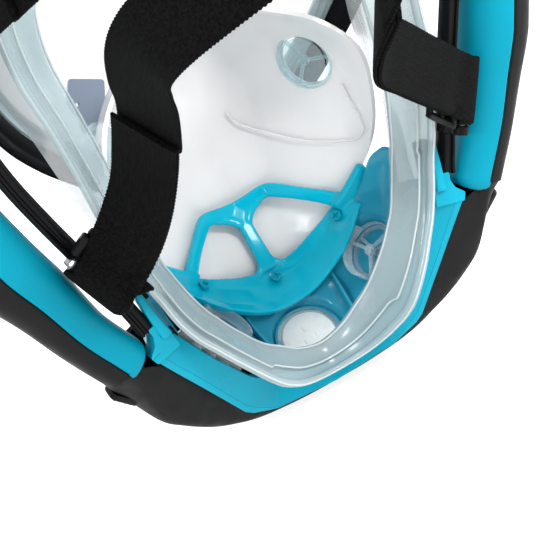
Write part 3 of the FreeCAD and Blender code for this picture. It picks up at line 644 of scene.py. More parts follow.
def skirt_rows(lip, fold, root, along):
    """One section of the skirt: the broad lip, the bead round its edge, the wall and the ribs, thin bars
    along the inner ridge, the crease and the outer edge that carry painted highlight lines.
    """
    out = unit(lip - fold)
    rise = unit(out.cross(along))
    if rise.y < 0:
        rise = -rise
    wide = (lip - fold).length
    inner = min(max((abs(lip.x) - NOTCH_AT + 2.0) / 2.0, 0.0), 1.0)
    crease = 0.60 + 0.11 * inner
    if lip.z > -30:
        crease = 0.66
    face = LIP_FACE + [(crease - 0.015, 1.5), (crease, 1.5), (crease + 0.02, 0.1), (LIP_END - 0.03, 0.0),
                       (LIP_END, -0.3), (LIP_END, -1.1)]
    broad = [fold + out * (share * wide) + rise * height for share, height in face]
    broad += [fold + out * (share * wide) - rise * SKIN * 0.6 for share in (0.6, 0.3, 0.12)]
    bead = [fold + out * (share * wide) + rise * height for share, height in BEAD]
    down = unit(root - fold)
    side = unit(out - down * out.dot(down)) * (SKIN / 2)
    reach = root - fold
    wall = [fold + reach * share + side for share in (0.04, 0.3, 0.6, 1.0)]
    wall += [fold + reach * share - side for share in (1.0, 0.6, 0.3, 0.04)]
    ribs = []
    # Three thin bars, on the inner ridge, the crease and the outer edge, drawn whiter than the lip: painted
    # highlight lines.
    for share, height, radius in ((0.10, 2.0, 0.5), (crease - 0.006, 1.6, 0.5), (1.0, 1.0, 0.42)):
        middle = fold + out * (share * wide) + rise * height
        turns = [math.radians(60 * k) for k in range(6)]
        ribs.append([middle + out * (radius * math.cos(a)) + rise * (radius * math.sin(a)) for a in turns])
    return broad, bead, wall, ribs


def make_skirt():
    half = [[Vector(p) for p in row] for row in SKIRT_ROWS]
    loop = half + [[flip(p) for p in row] for row in half[-2:0:-1]]
    dense = smooth_rows(loop, SKIRT_STEPS, loop=True)
    sections = []
    for i, (lip, fold, root) in enumerate(dense):
        along = unit(dense[(i + 1) % len(dense)][0] - dense[i - 1][0])
        sections.append(skirt_rows(lip, fold, root, along))
    parts = (("lip", "silicone_clear"), ("bead", "silicone_bead"), ("wall", "silicone_wall"))
    for k, (name, finish) in enumerate(parts):
        shape = Shape().skin([section[k] for section in sections], loop=True)
        piece("face_skirt_" + name, shape, finish, stands_for=["face_skirt"], slot="silicone_clear", sharp=55)
    # The ribs are drawn in a whiter silicone than the lip: painted highlight lines.
    lines = Shape()
    for k in range(3):
        lines.skin([section[3][k] for section in sections], loop=True)
    piece("face_skirt_highlight_ribs", lines, "silicone_rib_painted_highlight", stands_for=["face_skirt"], slot="silicone_clear",
          sharp=80)


# ---- breathing cup -----------------------------------------------------------------------------
CUP_LEVELS = [
    (-73, [(24, -59), (16, -64), (8, -67.5), (0, -69)]),
    (-62, [(22, -62), (15, -66), (8, -68), (0, -69.5)]),
    (-50, [(37, -54.5), (28, -63), (14, -73), (0, -77)]),
    (-38, [(49, -43.5), (38, -56), (18, -78), (0, -83)]),
    (-20, [(56, -30), (50, -50), (26, -77), (0, -84)]),
    (0, [(58, -20), (54, -46), (30, -78), (0, -87.5)]),
    (18, [(57, -17), (52, -48), (29, -78), (0, -88.5)]),
    (34, [(47, -24), (40, -52), (23, -74), (0, -82)]),
    (46, [(30, -36), (24, -56), (12, -66), (0, -69)]),
]
# A raised line inside the cup, on the wearer's right.
CUP_LINE = [(-54.5, -39.8, 1.6), (-54.6, -38.6, -4.9), (-54.4, -35.0, -11.7), (-53.9, -33.4, -18.4),
            (-52.8, -37.0, -21.8), (-51.2, -41.2, -23.2), (-48.4, -48.2, -23.2), (-42.4, -57.4, -21.6),
            (-36.0, -65.7, -18.4), (-31.5, -71.0, -15.1), (-24.8, -77.4, -10.0), (-17.4, -81.4, -3.2),
            (-14.8, -82.6, 3.1)]
CUP_LINE_WIDE = 0.9
CHEEK_VALVE = Vector((47.0, -53.0, 15.0))
CHEEK_AXIS = unit((0.80, -0.60, 0.05))


def make_cup():
    rows = []
    for z, half in CUP_LEVELS:
        line = smooth_line([(x, y, z) for x, y in half], 7)
        rows.append(line + [flip(p) for p in line[-2::-1]])
    outer = smooth_rows(rows, 5)
    sheet = []
    for i, row in enumerate(outer):
        inner = []
        for k, p in enumerate(row):
            along = row[min(k + 1, len(row) - 1)] - row[max(k - 1, 0)]
            up = outer[min(i + 1, len(outer) - 1)][k] - outer[max(i - 1, 0)][k]
            inner.append(p - unit(along.cross(up)) * SKIN)
        sheet.append(row + inner[::-1])
    looks = {"stands_for": ["oronasal_cup"], "slot": "silicone_clear"}
    made = piece("breathing_cup_silicone", Shape().skin(sheet), "cup_clear", sharp=50, **looks)
    rib = Shape().bar(CUP_LINE, (0, 1, 0.4), CUP_LINE_WIDE, CUP_LINE_WIDE, 0.4)
    piece("breathing_cup_rib", rib, "cup_clear", sharp=60, **looks)
    for turn in (Vector, flip):
        cut_out(made, plug(CHEEK_VALVE_R - 1, 20, turn(CHEEK_VALVE), turn(CHEEK_AXIS)))


# ---- chin unit ---------------------------------------------------------------------------------
# Stations out from the middle of the chin: lower edge, inner edge, and how wide the lower facet is.
BAND_ROWS = [
    ((0, -31, -114), (0, -36, -105), 0.5),
    ((20, -29.6, -112), (15, -34.2, -101.5), 0.5),
    ((30, -28.7, -110.9), (23, -33.2, -99.4), 0.6),
    ((33.5, -28.2, -109.7), (26, -32, -98), 1.0),
    ((41.5, -25, -105.8), (34.5, -25, -92.2), 2.8),
    ((45, -23.4, -102.8), (37.5, -23, -89), 3.0),
    ((59, -13.5, -80), (50, -14, -71), 3.0),
    ((67, -8.4, -67.3), (56.5, -11, -60.5), 3.0),
    ((74.3, -3, -55.3), (62, -8, -51), 3.0),
]
BAND_DEEP = 34.0


def band_row(out, inn, facet):
    out, inn = Vector(out), Vector(inn)
    across = unit(inn - out)
    forward = unit((-0.002 * out.x, -1, 0.10))
    lift = across.cross(unit((0.5, 0.2, 0.6)))
    lift = unit(lift if lift.y > 0 else -lift)
    ridge = out + across * facet + lift * 0.5
    heel = forward * BAND_DEEP
    corners = [out, ridge - across * 0.22, ridge - lift * 0.28, ridge + across * 0.22, inn + lift * 0.3,
               inn + forward * SHELL, out + across * SHELL + forward * (SHELL + 1),
               out + across * SHELL + heel, out + heel]
    return corners


# The lug's face, which is turned to the wearer; its outer edge is hollow where the tube's foot sits.
LUG_FACE = [(71.3, -4, -43.8), (70.6, -4, -47.2), (71.6, -3.7, -51.0), (75.0, -3.4, -54.6),
            (73.3, -3.2, -58.0), (61.4, -6, -55.8), (63.6, -5.4, -46.7), (67.1, -4.6, -42.8)]
HOOKS = ((54.2, -14.2, -62.0), (50.0, -16.6, -69.0), (46.0, -19.0, -76.0))


def make_band():
    half = [band_row(*row) for row in BAND_ROWS]
    rows = both_halves(half)
    dense = []
    for a, b in zip(rows, rows[1:]):
        dense += [[p.lerp(q, k / 3) for p, q in zip(a, b)] for k in range(3)]
    dense.append(rows[-1])
    band = Shape().skin(dense)
    side = Shape()
    rows = []
    for deep, drop in ((0.0, 0.0), (1.2, 0.5), (12.0, 1.2)):
        corners = [Vector(p) + Vector((0, -deep, -drop * 0.2)) for p in LUG_FACE]
        rows.append(rounded(corners, 0.7, 2))
    side.skin(rows)
    side.bar([(65.0, -7.6, -50), (67.0, -7.6, -41), (69.2, -7.8, -29)], (1, 0, 0), [5.0, 4.2, 3.2],
             [9, 8, 6.5], 1.4)
    side.with_mirror()
    band.add(side.points, side.faces)
    piece("chin_band", band, "teal_band", stands_for=["chin_housing"], slot="teal_gloss", bevel=0.35,
          sharp=30)
    clip = Shape()
    clip.bar([(61.4, -11.4, -54), (63.2, -11.8, -44), (66.0, -12.2, -28)], (1, 0, 0), 4.2, 3.0, 0.8)
    pair("clip_plate", clip, "teal_clear")
    slots = Shape()
    slots.bar([(66.2, -9.6, -33.6), (67.8, -9.4, -27.6)], (1, 0, 0), 3.6, 2.4, 0.5)
    slots.bar([(61.2, -9.4, -53.0), (62.3, -9.2, -48.4)], (1, 0, 0), 2.0, 2.4, 0.5)
    pair("clip_socket", slots, "frame_black")
    ledge = Shape()
    ledge.bar([(59.5, -13.5, -54), (55.5, -15.5, -61), (49.5, -18.5, -71.5), (41, -23.5, -84.5)],
              (1, 0.2, 0.9), 5.0, 2.0, 0.6)
    pair("side_ledge", ledge, "ledge_grey", slot="valve_clear")
    hooks = Shape()
    for spot in HOOKS:
        bends = [Vector(spot) + Vector(way) for way in ((1.6, 0.6, 1.6), (0, 0.9, 0), (-1.0, 0.6, -2.4))]
        hooks.bar(bends, (1, 0, 0.4), 1.5, 1.5, 0.5)
    pair("side_hooks", hooks, "valve_clear")


# ---- chin shroud -------------------------------------------------------------------------------
# Each row starts under the band's edge and runs round the outside to the upper edge.
SHROUD_ROWS = [
    ((0, -34, -113.5), (0, -42, -118), (0, -66, -114), (0, -84, -98), (0, -90, -78), (0, -86, -62)),
    ((22, -32.5, -111.5), (22, -41, -117), (22, -65, -113), (22, -83, -97), (22, -89, -77), (22, -85, -61)),
    ((41, -27.5, -105), (42, -37, -113), (43, -61, -108), (44, -78, -94), (43, -83, -75), (42, -79, -58)),
    ((53, -20.5, -90), (58, -30, -105), (60, -53, -101), (62, -66, -89), (61, -69, -72), (58, -66, -55)),
    ((62, -13.5, -75.5), (70, -21, -94), (74, -42, -92), (76, -51, -83), (74, -51, -68), (70, -48, -53)),
    ((71, -7.5, -61.5), (79, -15.5, -83), (84, -34, -81), (86, -41, -76), (84, -42, -66), (79, -41, -54)),
]
TUBE_LINE = [(88.4, -12.6, -54.4), (98, -10, -36), (104.5, -8, -15), (111.5, -7, 4), (118.5, -5, 26),
             (124, -2, 52), (126.5, 4, 88), (123.5, 13, 126), (115, 27, 168), (104, 41, 208), (96.5, 51, 238)]
TUBE_SCALE = [0.74, 0.77, 0.90, 1, 1, 1, 1, 1, 1, 1, 1]   # the tube narrows towards its foot
TUBE_STEPS = 8
FOOT_TURN = 6               # the shroud's end turns in past the seam by these degrees
FOOT_LIP = 3.0              # and goes this far in


def tube_frames():
    """Centre, outward side, rear, direction and scale of the tube's section, point by point."""
    line = smooth_line(TUBE_LINE, TUBE_STEPS)
    scales = smooth_line([(s, 0, 0) for s in TUBE_SCALE], TUBE_STEPS)
    frames = []
    for i, p in enumerate(line):
        ahead, rear, _ = axes(line, i, (0, 1, 0))
        side = unit(rear.cross(ahead))
        scale = min(scales[i].x, 1.0)
        frames.append((p - side * (TUBE_SIDE * (1.0 - scale)), side, rear, ahead, scale))
    return frames


def tube_point(spot, degrees, shrink=0.0):
    centre, side, rear, _, scale = spot
    c, s = math.cos(math.radians(degrees)), math.sin(math.radians(degrees))
    squared = (abs(c) ** 2.6 + abs(s) ** 2.6) ** (-1 / 2.6)
    return (centre + side * ((TUBE_SIDE * scale - shrink) * c * squared)
            + rear * ((TUBE_DEEP * scale - shrink) * s * squared))


def make_shroud():
    foot = tube_frames()[0]
    last = (foot[0] - foot[3] * CLEAR, *foot[1:])
    turns = [SEAM_BACK + (SEAM_FRONT - 360 - SEAM_BACK) * k / 4 for k in range(5)]
    rows = [[Vector(p) for p in row] for row in SHROUD_ROWS]
    rows.append([tube_point(last, SEAM_BACK + FOOT_TURN, FOOT_LIP)] + [tube_point(last, a) for a in turns])
    dense = smooth_rows(both_halves(rows), 6)
    sheet = []
    for row in dense:
        outer = smooth_line(row, 5)
        heart = Vector((row[0].x * 0.6, -25, -70))      # the shell thickens towards here
        inner = [p + unit(heart - p) * SHELL for p in outer]
        sheet.append(outer + inner[::-1])
    piece("chin_shroud_shell", Shape().skin(sheet), "shroud_black", stands_for=["chin_shroud"], bevel=0.4,
          sharp=45)


LATCH = Vector((95.2, -22, -73))
LATCH_AXIS = unit((-0.76, 0.25, 0.60))
PAD_SUNK = 6.2              # the pad lies this far in from the CAD one, on the narrower foot


def make_latches():
    """Press pads: a soft-edged button with four finger ridges."""
    u, v = ring_frame(LATCH_AXIS)
    pad = Shape()
    inset = -LATCH_AXIS
    levels = [(0.0, 3.0), (0.0, 1.0), (0.35, 0.3), (1.2, 0.0)]
    place = LATCH + LATCH_AXIS * PAD_SUNK
    rows = []
    for shrink, down in levels:
        corners = []
        for a, b in ((1, 1), (-1, 1), (-1, -1), (1, -1)):
            corners.append(place + u * (a * (7 - shrink)) + v * (b * (4.5 - shrink)) - inset * down)
        rows.append(rounded(corners, 2.2, 4))
    pad.skin(rows)
    for k in range(4):
        start = place + u * (-4.2 + 2.8 * k) + inset * 0.15
        pad.bar([start - v * 2.8, start + v * 2.8], u, 0.9, 0.9, 0.4)
    pair("tube_latch_pad", pad, "frame_black", ["tube_latch"], body="latch")


# ---- exhaust deck ------------------------------------------------------------------------------
DRAIN = Vector((0, -47.2, -91.0))
DRAIN_AXIS = unit((0, 0.62, 0.78))
DISC_SHIFT = Vector((0, 1.9, -4.0))    # the white disc sits this far below the CAD one
SIDE_VALVE = Vector((39.0, -35.2, -70.7))
SIDE_AXIS = unit((-0.66, 0.34, 0.67))
# Bowl between the clamp and the skirt: top edge, middle and bottom edge, out from the middle.
DECK_ROWS = [
    ((0, -60.5, -75.5), (0, -47.2, -91.0), (0, -37.5, -99.0)),
    ((13, -59.0, -73.5), (13, -47.0, -90.6), (12, -36.5, -96.5)),
    ((21, -56.5, -69.5), (22, -46.0, -85.5), (20, -34.5, -92.5)),
    ((27, -53.0, -64.5), (31, -42.0, -76.0), (28, -31.5, -84.5)),
    ((37, -47.5, -54.5), (42, -36.5, -63.5), (38, -25.5, -73.5)),
    ((45, -42.0, -44.5), (50, -30.5, -50.5), (46, -20.5, -61.5)),
    ((51, -35.0, -33.0), (55, -25.0, -33.5), (53, -17.5, -44.5)),
    ((53.5, -32.0, -29.8), (56.5, -25.5, -27.3), (57.8, -18.5, -28.5)),
]


def well(place, axis, radius):
    """The raised ring round a valve."""
    return Shape().turned([(radius, -4), (radius + 1.4, -4), (radius + 1.4, 0.5), (radius + 1.0, 0.9),
                           (radius + 0.4, 0.9), (radius, 0.5)], place, axis, 64)


def sunk(p, places):
    """P, lowered into the flat well of any valve that it lies in."""
    for place, axis, radius in places:
        height = (p - place).dot(axis)
        out = (p - place - axis * height).length
        if out < radius + 3.0 and abs(height) < 14:
            share = min(max((radius + 3.0 - out) / 2.0, 0.0), 1.0)
            p = p - axis * ((height + 1.6) * share)
    return p


def make_deck():
    rows = [[Vector(p) for p in row] for row in DECK_ROWS]
    places = [(DRAIN + DISC_SHIFT, DRAIN_AXIS, DRAIN_R), (SIDE_VALVE, SIDE_AXIS, SIDE_VALVE_R),
              (flip(SIDE_VALVE), flip(SIDE_AXIS), SIDE_VALVE_R)]
    sheet = []
    for row in smooth_rows(both_halves(rows), 14):
        top = [sunk(p, places) for p in smooth_line(row, 18)]
        sheet.append(top + [p - unit((0, 0.6, 0.8)) * 2.0 for p in top[::-1]])
    piece("deck_plate", Shape().skin(sheet), "teal_clear", stands_for=["valve_deck"], sharp=50)
    rings = Shape()
    for place, axis, radius in places:
        ring = well(place, axis, radius)
        rings.add(ring.points, ring.faces)
    wall = Shape()
    wall.bar([(22, -57.5, -74.5), (21.6, -47, -83.5), (20, -36, -91.5)], (1, 0, 0), 1.3, [10, 9, 7], 0.4)
    wall.with_mirror()
    rings.add(wall.points, wall.faces)
    piece("deck_rings", rings, "teal_clear")


# ---- clamp -------------------------------------------------------------------------------------
CRESCENT = [
    ((0, -63.5, -64.5), (0, -50, -79.5)),
    ((12, -61.5, -62.5), (12, -47.5, -77)),
    ((24, -59, -57), (24, -43.5, -69.5)),
    ((31, -56, -52.5), (32, -42, -63)),
    ((38.5, -49, -45.5), (43.5, -41, -50)),
]
CLAMP_THICK = 3.2
SCREW_PLACES = [((0, -58.5, -68.5), (0, 0.72, 0.69)), ((34, -49.5, -53.5), (-0.45, 0.60, 0.66))]
SCREW_HOLE = [(0.01, -9), (1.5, -9), (1.5, 0.3), (3.0, 0.4), (3.3, 6), (0.01, 6)]
CLAMP_VOXEL = 0.55
CLAMP_PASSES = 7            # of smoothing after the parts are melted together


def make_clamp():
    """Crescent, arch and spoke, melted into one moulding with soft inner corners."""
    rows = []
    for high, low in CRESCENT:
        high, low = Vector(high), Vector(low)
        out = unit((-0.012 * high.x, 0.72, 0.69))
        roll = low + out * 0.4 + unit(low - high) * 0.6
        rows.append([high + out * 0.5, high.lerp(low, 0.3) - out * 0.6, high.lerp(low, 0.75) - out * 0.5,
                     roll + out * 0.4, low - out * CLAMP_THICK * 1.1, high - out * CLAMP_THICK])
    clamp = Shape().skin(smooth_rows(both_halves(rows), 6))
    arch = [(37.5, -49.5, -47), (33, -55, -43.8), (26, -63.5, -39.8), (18, -72.4, -35.6), (14, -75.2, -35.2),
            (6, -76.4, -36.6), (0, -77.0, -37.6)]
    half = Shape().bar(arch, (0, 0.4, -1), [7.0, 6.0, 5.6, 6.4, 6.4, 6.6, 7.6], 3.6, 1.1, 6)
    half.bar([(36, -50, -50.5), (41.5, -46, -46.0), (46.5, -43, -40.0), (50.2, -40.6, -34.6)], (1, 0, -0.9),
             [9.0, 8.6, 6.8, 4.6], 3.6, 1.5, 6)
    half.bar([(11.5, -75.0, -37.5), (5.5, -74.2, -40.4), (1.5, -72.4, -44.5)], (0.3, 0.4, -1), 3.4, 3.0,
             1.0, 6)
    half.bar([(6.5, -62.0, -65.5), (3.2, -64.0, -62.5), (1.5, -66.0, -58.5)], (1, 0, 0), 3.0, 3.0, 1.0, 6)
    half.with_mirror()
    clamp.add(half.points, half.faces)
    clamp.bar([(0, -77.4, -36.5), (0, -72, -46.5), (0, -62.5, -65.5)], (1, 0, 0), [9.0, 6.4, 7.6], 3.6,
              1.1, 6)
    made = piece("cup_clamp_moulding", clamp, "teal_gloss", stands_for=["cup_clamp"], sharp=180)
    melt = made.modifiers.new("melt", "REMESH")
    melt.mode = "VOXEL"
    melt.voxel_size = CLAMP_VOXEL * MM
    melt.use_smooth_shade = True
    soften = made.modifiers.new("soften", "SMOOTH")
    soften.factor = 0.5
    soften.iterations = CLAMP_PASSES
    apply_modifiers(made)
    for place, axis in SCREW_PLACES:
        for turn in (Vector, flip) if place[0] else (Vector,):
            cut_out(made, Shape().turned(SCREW_HOLE, turn(place), turn(unit(axis)), 32))
    made.data.shade_smooth()
    made.data.set_sharp_from_angle(angle=math.radians(45))


# ---- valves ------------------------------------------------------------------------------------
def make_valves():
    middle = DRAIN + DISC_SHIFT
    disc = Shape().turned([(0.01, 0.9), (6, 0.75), (10.4, 0.45), (11.8, 0.3), (12.3, -0.3), (12.3, -1.4),
                           (0.01, -1.4)], middle, DRAIN_AXIS, 72)
    flange = Shape().turned([(11.8, -1.0), (14.6, -1.0), (14.8, -0.4), (14.6, 0.5), (14.0, 0.6),
                             (13.6, -0.3), (11.8, -0.4)], middle, DRAIN_AXIS, 72)
    piece("drain_valve_flange", flange, "valve_clear", stands_for=["drain_valve_seat"], slot="valve_white")
    u, v = ring_frame(DRAIN_AXIS)
    for a, b, long in ((-3.2, 1.5, 2.6), (3.0, 2.6, 2.2), (0.6, -3.6, 3.0)):
        start = middle + u * a + v * b + DRAIN_AXIS * 0.75
        disc.bar([start - v * (long / 2), start + v * (long / 2)], u, 1.5, 0.9, 0.35)
    piece("drain_valve_disc", disc, "valve_white", stands_for=["drain_valve_seat"])
    seat = Shape().turned([(10.2, -3), (11.9, -3), (11.9, -0.2), (11.5, 0.1), (10.6, 0.1), (10.2, -0.2)],
                          SIDE_VALVE, SIDE_AXIS, 56)
    seat.spokes(SIDE_VALVE - SIDE_AXIS * 0.8, SIDE_AXIS, 30, 10.8, 0.0, 1.4, 1.4)
    seat.turned([(0.01, -2.2), (2.4, -2.2), (2.4, -0.2), (2.0, 0.1), (0.01, 0.1)], SIDE_VALVE, SIDE_AXIS, 32)
    pair("side_seat_ring", seat, "valve_clear", ["side_valve_seat"])
    cage = Shape().turned([(12.0, 0.1), (13.0, 0.1), (13.0, 2.2), (12.7, 2.6), (12.3, 2.6), (12.0, 2.2)],
                          SIDE_VALVE, SIDE_AXIS, 64)
    cage.turned([(11.2, 2.0), (12.6, 2.0), (12.7, 6.2), (12.3, 6.6), (11.7, 6.6), (11.4, 6.2)],
                SIDE_VALVE, SIDE_AXIS, 40, 150, 290)
    cage.spokes(SIDE_VALVE + SIDE_AXIS * 2.6, SIDE_AXIS, 12, 12.2, 0.6, 1.6, 1.5)
    cage.turned([(0.01, 1.6), (2.6, 1.6), (2.6, 3.4), (2.1, 3.9), (0.01, 3.9)], SIDE_VALVE, SIDE_AXIS, 32)
    pair("side_cage_clear", cage, "valve_clear", ["side_valve_cage"])
    ring = Shape().turned([(11.2, -0.2), (13.0, -0.2), (13.2, 0.3), (13.2, 2.6), (14.6, 2.9), (14.6, 3.4),
                           (11.6, 3.4), (11.2, 3.0)], CHEEK_VALVE, CHEEK_AXIS, 64)
    ring.spokes(CHEEK_VALVE + CHEEK_AXIS * 0.7, CHEEK_AXIS, 0, 11.6, 0.0, 1.4, 1.4)
    ring.turned([(0.01, 0), (2.4, 0), (2.4, 1.8), (2.0, 2.2), (0.01, 2.2)], CHEEK_VALVE, CHEEK_AXIS, 32)
    pair("cheek_seat_ring", ring, "valve_clear", ["cheek_valve_seat"])


# ---- breathing tubes ---------------------------------------------------------------------------
def shell_section(spot, start, stop):
    """One shell of a tube: its outside, its inside, and small round edges at the two seams."""
    edge = [(0.0, 0.75), (1.2, 0.25), (3.2, 0.0)]
    steps = 22
    outer = [tube_point(spot, start + a, s) for a, s in edge]
    outer += [tube_point(spot, start + 5 + (stop - start - 10) * k / steps) for k in range(steps + 1)]
    outer += [tube_point(spot, stop - a, s) for a, s in edge[::-1]]
    inner = [tube_point(spot, stop + (start - stop) * k / steps, TUBE_WALL) for k in range(steps + 1)]
    return outer + inner


def foot_rows(spot, start, stop, reach):
    """The closed foot of a shell, rounded over REACH along the tube."""
    centre, side, rear, ahead, scale = spot
    rows = []
    for k in range(7):
        a = math.radians(15 * k)
        drop = math.sin(a) * reach
        shrink = (1 - math.cos(a)) * reach
        moved = (centre - ahead * drop + side * (shrink * 0.45), side, rear, ahead, scale)
        rows.append([tube_point(moved, start + (stop - start) * j / 24, shrink) for j in range(25)])
    return rows


def make_tubes():
    frames = tube_frames()
    back = Shape().skin([shell_section(s, SEAM_BACK, SEAM_FRONT) for s in frames])
    back.skin(foot_rows(frames[0], SEAM_BACK, SEAM_FRONT, 5.0))
    pair("tube_rear_shell", back, "teal_matte", ["tube_back"], sharp=50)
    front = Shape().skin([shell_section(s, SEAM_FRONT + 0.6, SEAM_BACK + 359.4) for s in frames])
    centre, _, _, ahead, _ = frames[0]
    seal = Shape().turned([(6.2, 1), (8.0, 1), (8.3, 1.4), (8.3, 6.6), (8.0, 7), (6.2, 7)], centre, ahead, 48)
    pair("tube_seal_ring", seal, "seal_grey", ["tube_seal"])
    pair("tube_front_shell", front, "tube_black", ["tube_front"], slot="shroud_black", sharp=50)


CAGE_IN = 14.2              # inner radius of the float cage
CAP_R = 18.0


def make_tube_tops():
    foot, top = Vector(TUBE_LINE[-2]), Vector(TUBE_LINE[-1])
    axis = unit(top - foot)
    u, v = ring_frame(axis)
    cage = Shape()
    for low, high in ((0.3, 7.5), (CAGE_TALL - 8.5, CAGE_TALL + 0.3)):
        cage.turned([(CAGE_IN, low), (CAGE_R - 0.6, low), (CAGE_R, low + 0.6), (CAGE_R, high - 0.6),
                     (CAGE_R - 0.6, high), (CAGE_IN, high)], top, axis, 72)
    cage.turned([(8, 0.3), (14.6, 0.3), (14.6, 2.7), (8, 2.7)], top, axis, 72)
    for k in range(6):
        middle = 60 * k + 30
        cage.turned([(CAGE_IN, 7.0), (CAGE_R - 0.15, 7.0), (CAGE_R - 0.15, CAGE_TALL - 8),
                     (CAGE_IN, CAGE_TALL - 8)], top, axis, 8, middle - 17, middle + 17)
    pair("float_cage_shell", cage, "shroud_black", ["float_cage"], bevel=0.3)
    base = CAGE_TALL + 0.3
    dome = [(0.01, base + 9.0)]
    for degrees in range(10, 91, 8):
        a = math.radians(degrees)
        dome.append((CAP_R * math.sin(a), base + 0.8 + 8.2 * math.cos(a)))
    dome += [(CAP_R, base + 0.3), (CAP_R - 0.6, base), (14.0, base), (13.8, base - 3), (12.0, base - 3),
             (0.01, base - 2.6)]
    cap = Shape().turned(dome, top, axis, 72)
    for k in range(10):
        a = math.radians(36 * k)
        way = u * math.cos(a) + v * math.sin(a)
        start = top + axis * (base + 8.2) + way * 4.5
        line = [start, start + way * 5 - axis * 1.3, start + way * 9.4 - axis * 4.0]
        cap.bar(line, axis.cross(way), 1.2, 1.2, 0.4)
    pair("float_cap_dome", cap, "teal_matte", ["float_cap"], bevel=0.2)


# ---- buckles -----------------------------------------------------------------------------------
BUCKLE_BARS = ((7.0, 3.0, 0.3), (14.25, 3.0, 2.4), (22.5, 2.8, 3.2))    # along, depth, height
BUCKLE_SLANT = 0.34         # of the lower buckles, sideways for each millimetre from the pin


def buckle(centre, axis, pull, slant):
    """A ladder buckle: a knuckle on the pin, three cross bars between two slanting side rails."""
    w = unit(axis)
    t = unit(pull - w * pull.dot(w))
    made = Shape()

    def at(across, along, up=0.0):
        return centre + w * (across + slant * max(along, 0)) + t * along + w.cross(t) * up

    half = KNUCKLE_LONG / 2
    long = KNUCKLE_LONG
    made.turned([(PIN_R + 0.06, 0.2), (1.9, 0), (2.8, 0), (3.2, 0.4), (3.2, long - 0.4), (2.8, long),
                 (1.9, long), (PIN_R + 0.06, long - 0.2)], at(-half, 0), w, 28)
    made.bar([at(0, 2.6), at(0, 6.6)], w, 16, 3.2, 0.8)
    for along, deep, up in BUCKLE_BARS:
        made.bar([at(-12.4, along, up), at(0, along, up * 1.15), at(14.6, along, up)], t, deep, 2.6, 0.9)
    made.bar([at(-12.4, 5.5, 0.2), at(-12.4, 14, 2.2), at(-12.4, 24, 3.2)], w, 3.0, 2.6, 1.1)
    made.bar([at(14.8, 4.0, 0), at(14.8, 9, 0.4), at(14.2, 13, 1.2)], w, 4.2, 4.4, 1.3)
    made.bar([at(12.4, 12, 1.8), at(12.0, 16, 2.6), at(11.6, 24, 3.2)], w, 3.0, 2.6, 1.1)
    return made


# ---- straps ------------------------------------------------------------------------------------
# Each row: the middle of the strap and the direction of its width.
LOW_STRAP = [((74.5, 17.5, -7.0), (0.46, 0.0, 0.88)), ((67.5, 26, 2.8), (0.54, -0.40, 0.74)),
             ((61.2, 38, 16), (0.44, -0.56, 0.70)), ((57.9, 51, 29.5), (0.457, -0.578, 0.678)),
             ((57.0, 66, 42.5), (0.445, -0.57, 0.70)), ((58.3, 80, 52.9), (0.50, -0.54, 0.68)),
             ((60.0, 95, 63.3), (0.393, -0.494, 0.778)), ((59.5, 110, 71.5), (0.19, -0.40, 0.896)),
             ((53.5, 125, 78), (0.136, -0.317, 0.94)), ((41, 141, 84.5), (0.05, -0.2, 0.97)),
             ((27, 152, 89.5), (0, -0.1, 0.99)), ((13.5, 160, 93), (0, 0, 1))]
# The right one hangs differently; its table is for a left one and is mirrored like the rest.
LOW_STRAP_RIGHT = [((76.6, 19.5, -4.9), (0.48, 0.0, 0.87)), ((69.8, 26.5, 0.8), (0.50, -0.04, 0.86)),
                   ((62.5, 33.5, 6.9), (0.50, -0.04, 0.86)), ((47, 49.5, 19.7), (0.50, -0.04, 0.86)),
                   ((33.5, 65.5, 31.5), (0.48, -0.06, 0.86)), ((28.5, 84, 45.5), (0.40, -0.10, 0.88)),
                   ((28.5, 104, 60), (0.28, -0.15, 0.92)), ((26.5, 124, 73), (0.18, -0.15, 0.95)),
                   ((21.5, 143, 84), (0.08, -0.1, 0.98)), ((13.5, 160, 93), (0, 0, 1))]
SLID = 3.5                  # how far the right strap has slid up its pin
TOP_STRAP = [((95, 34.0, 95.4), (-0.12, 0, 0.99)), ((91.9, 44.2, 96.7), (-0.12, 0, 0.99)),
             ((87, 65, 102), (-0.10, 0, 0.99)), ((78, 87, 108), (-0.08, 0, 0.99)),
             ((64, 112, 115), (-0.05, 0, 0.99)), ((44, 137, 121), (0, 0, 1)), ((26, 153, 125), (0, 0, 1)),
             ((13, 160, 126), (0, 0, 1))]
STITCH = 0.9                # length of one knitted row along the strap
WRAP = 4.6                  # from the pin to the middle of the webbing that goes round it
LINE_STEPS = 6
RIBBON_MARKS = (-1.0, -0.96, -0.86, -0.6, -0.3, 0.0, 0.3, 0.6, 0.86, 0.96, 1.0)
BLEND_FROM = 24             # make_strap works out a point this far from the pin along the pull, and then does not use it


def measured(line):
    """How far along LINE each of its points lies."""
    run = [0.0]
    for a, b in zip(line, line[1:]):
        run.append(run[-1] + (b - a).length)
    return run


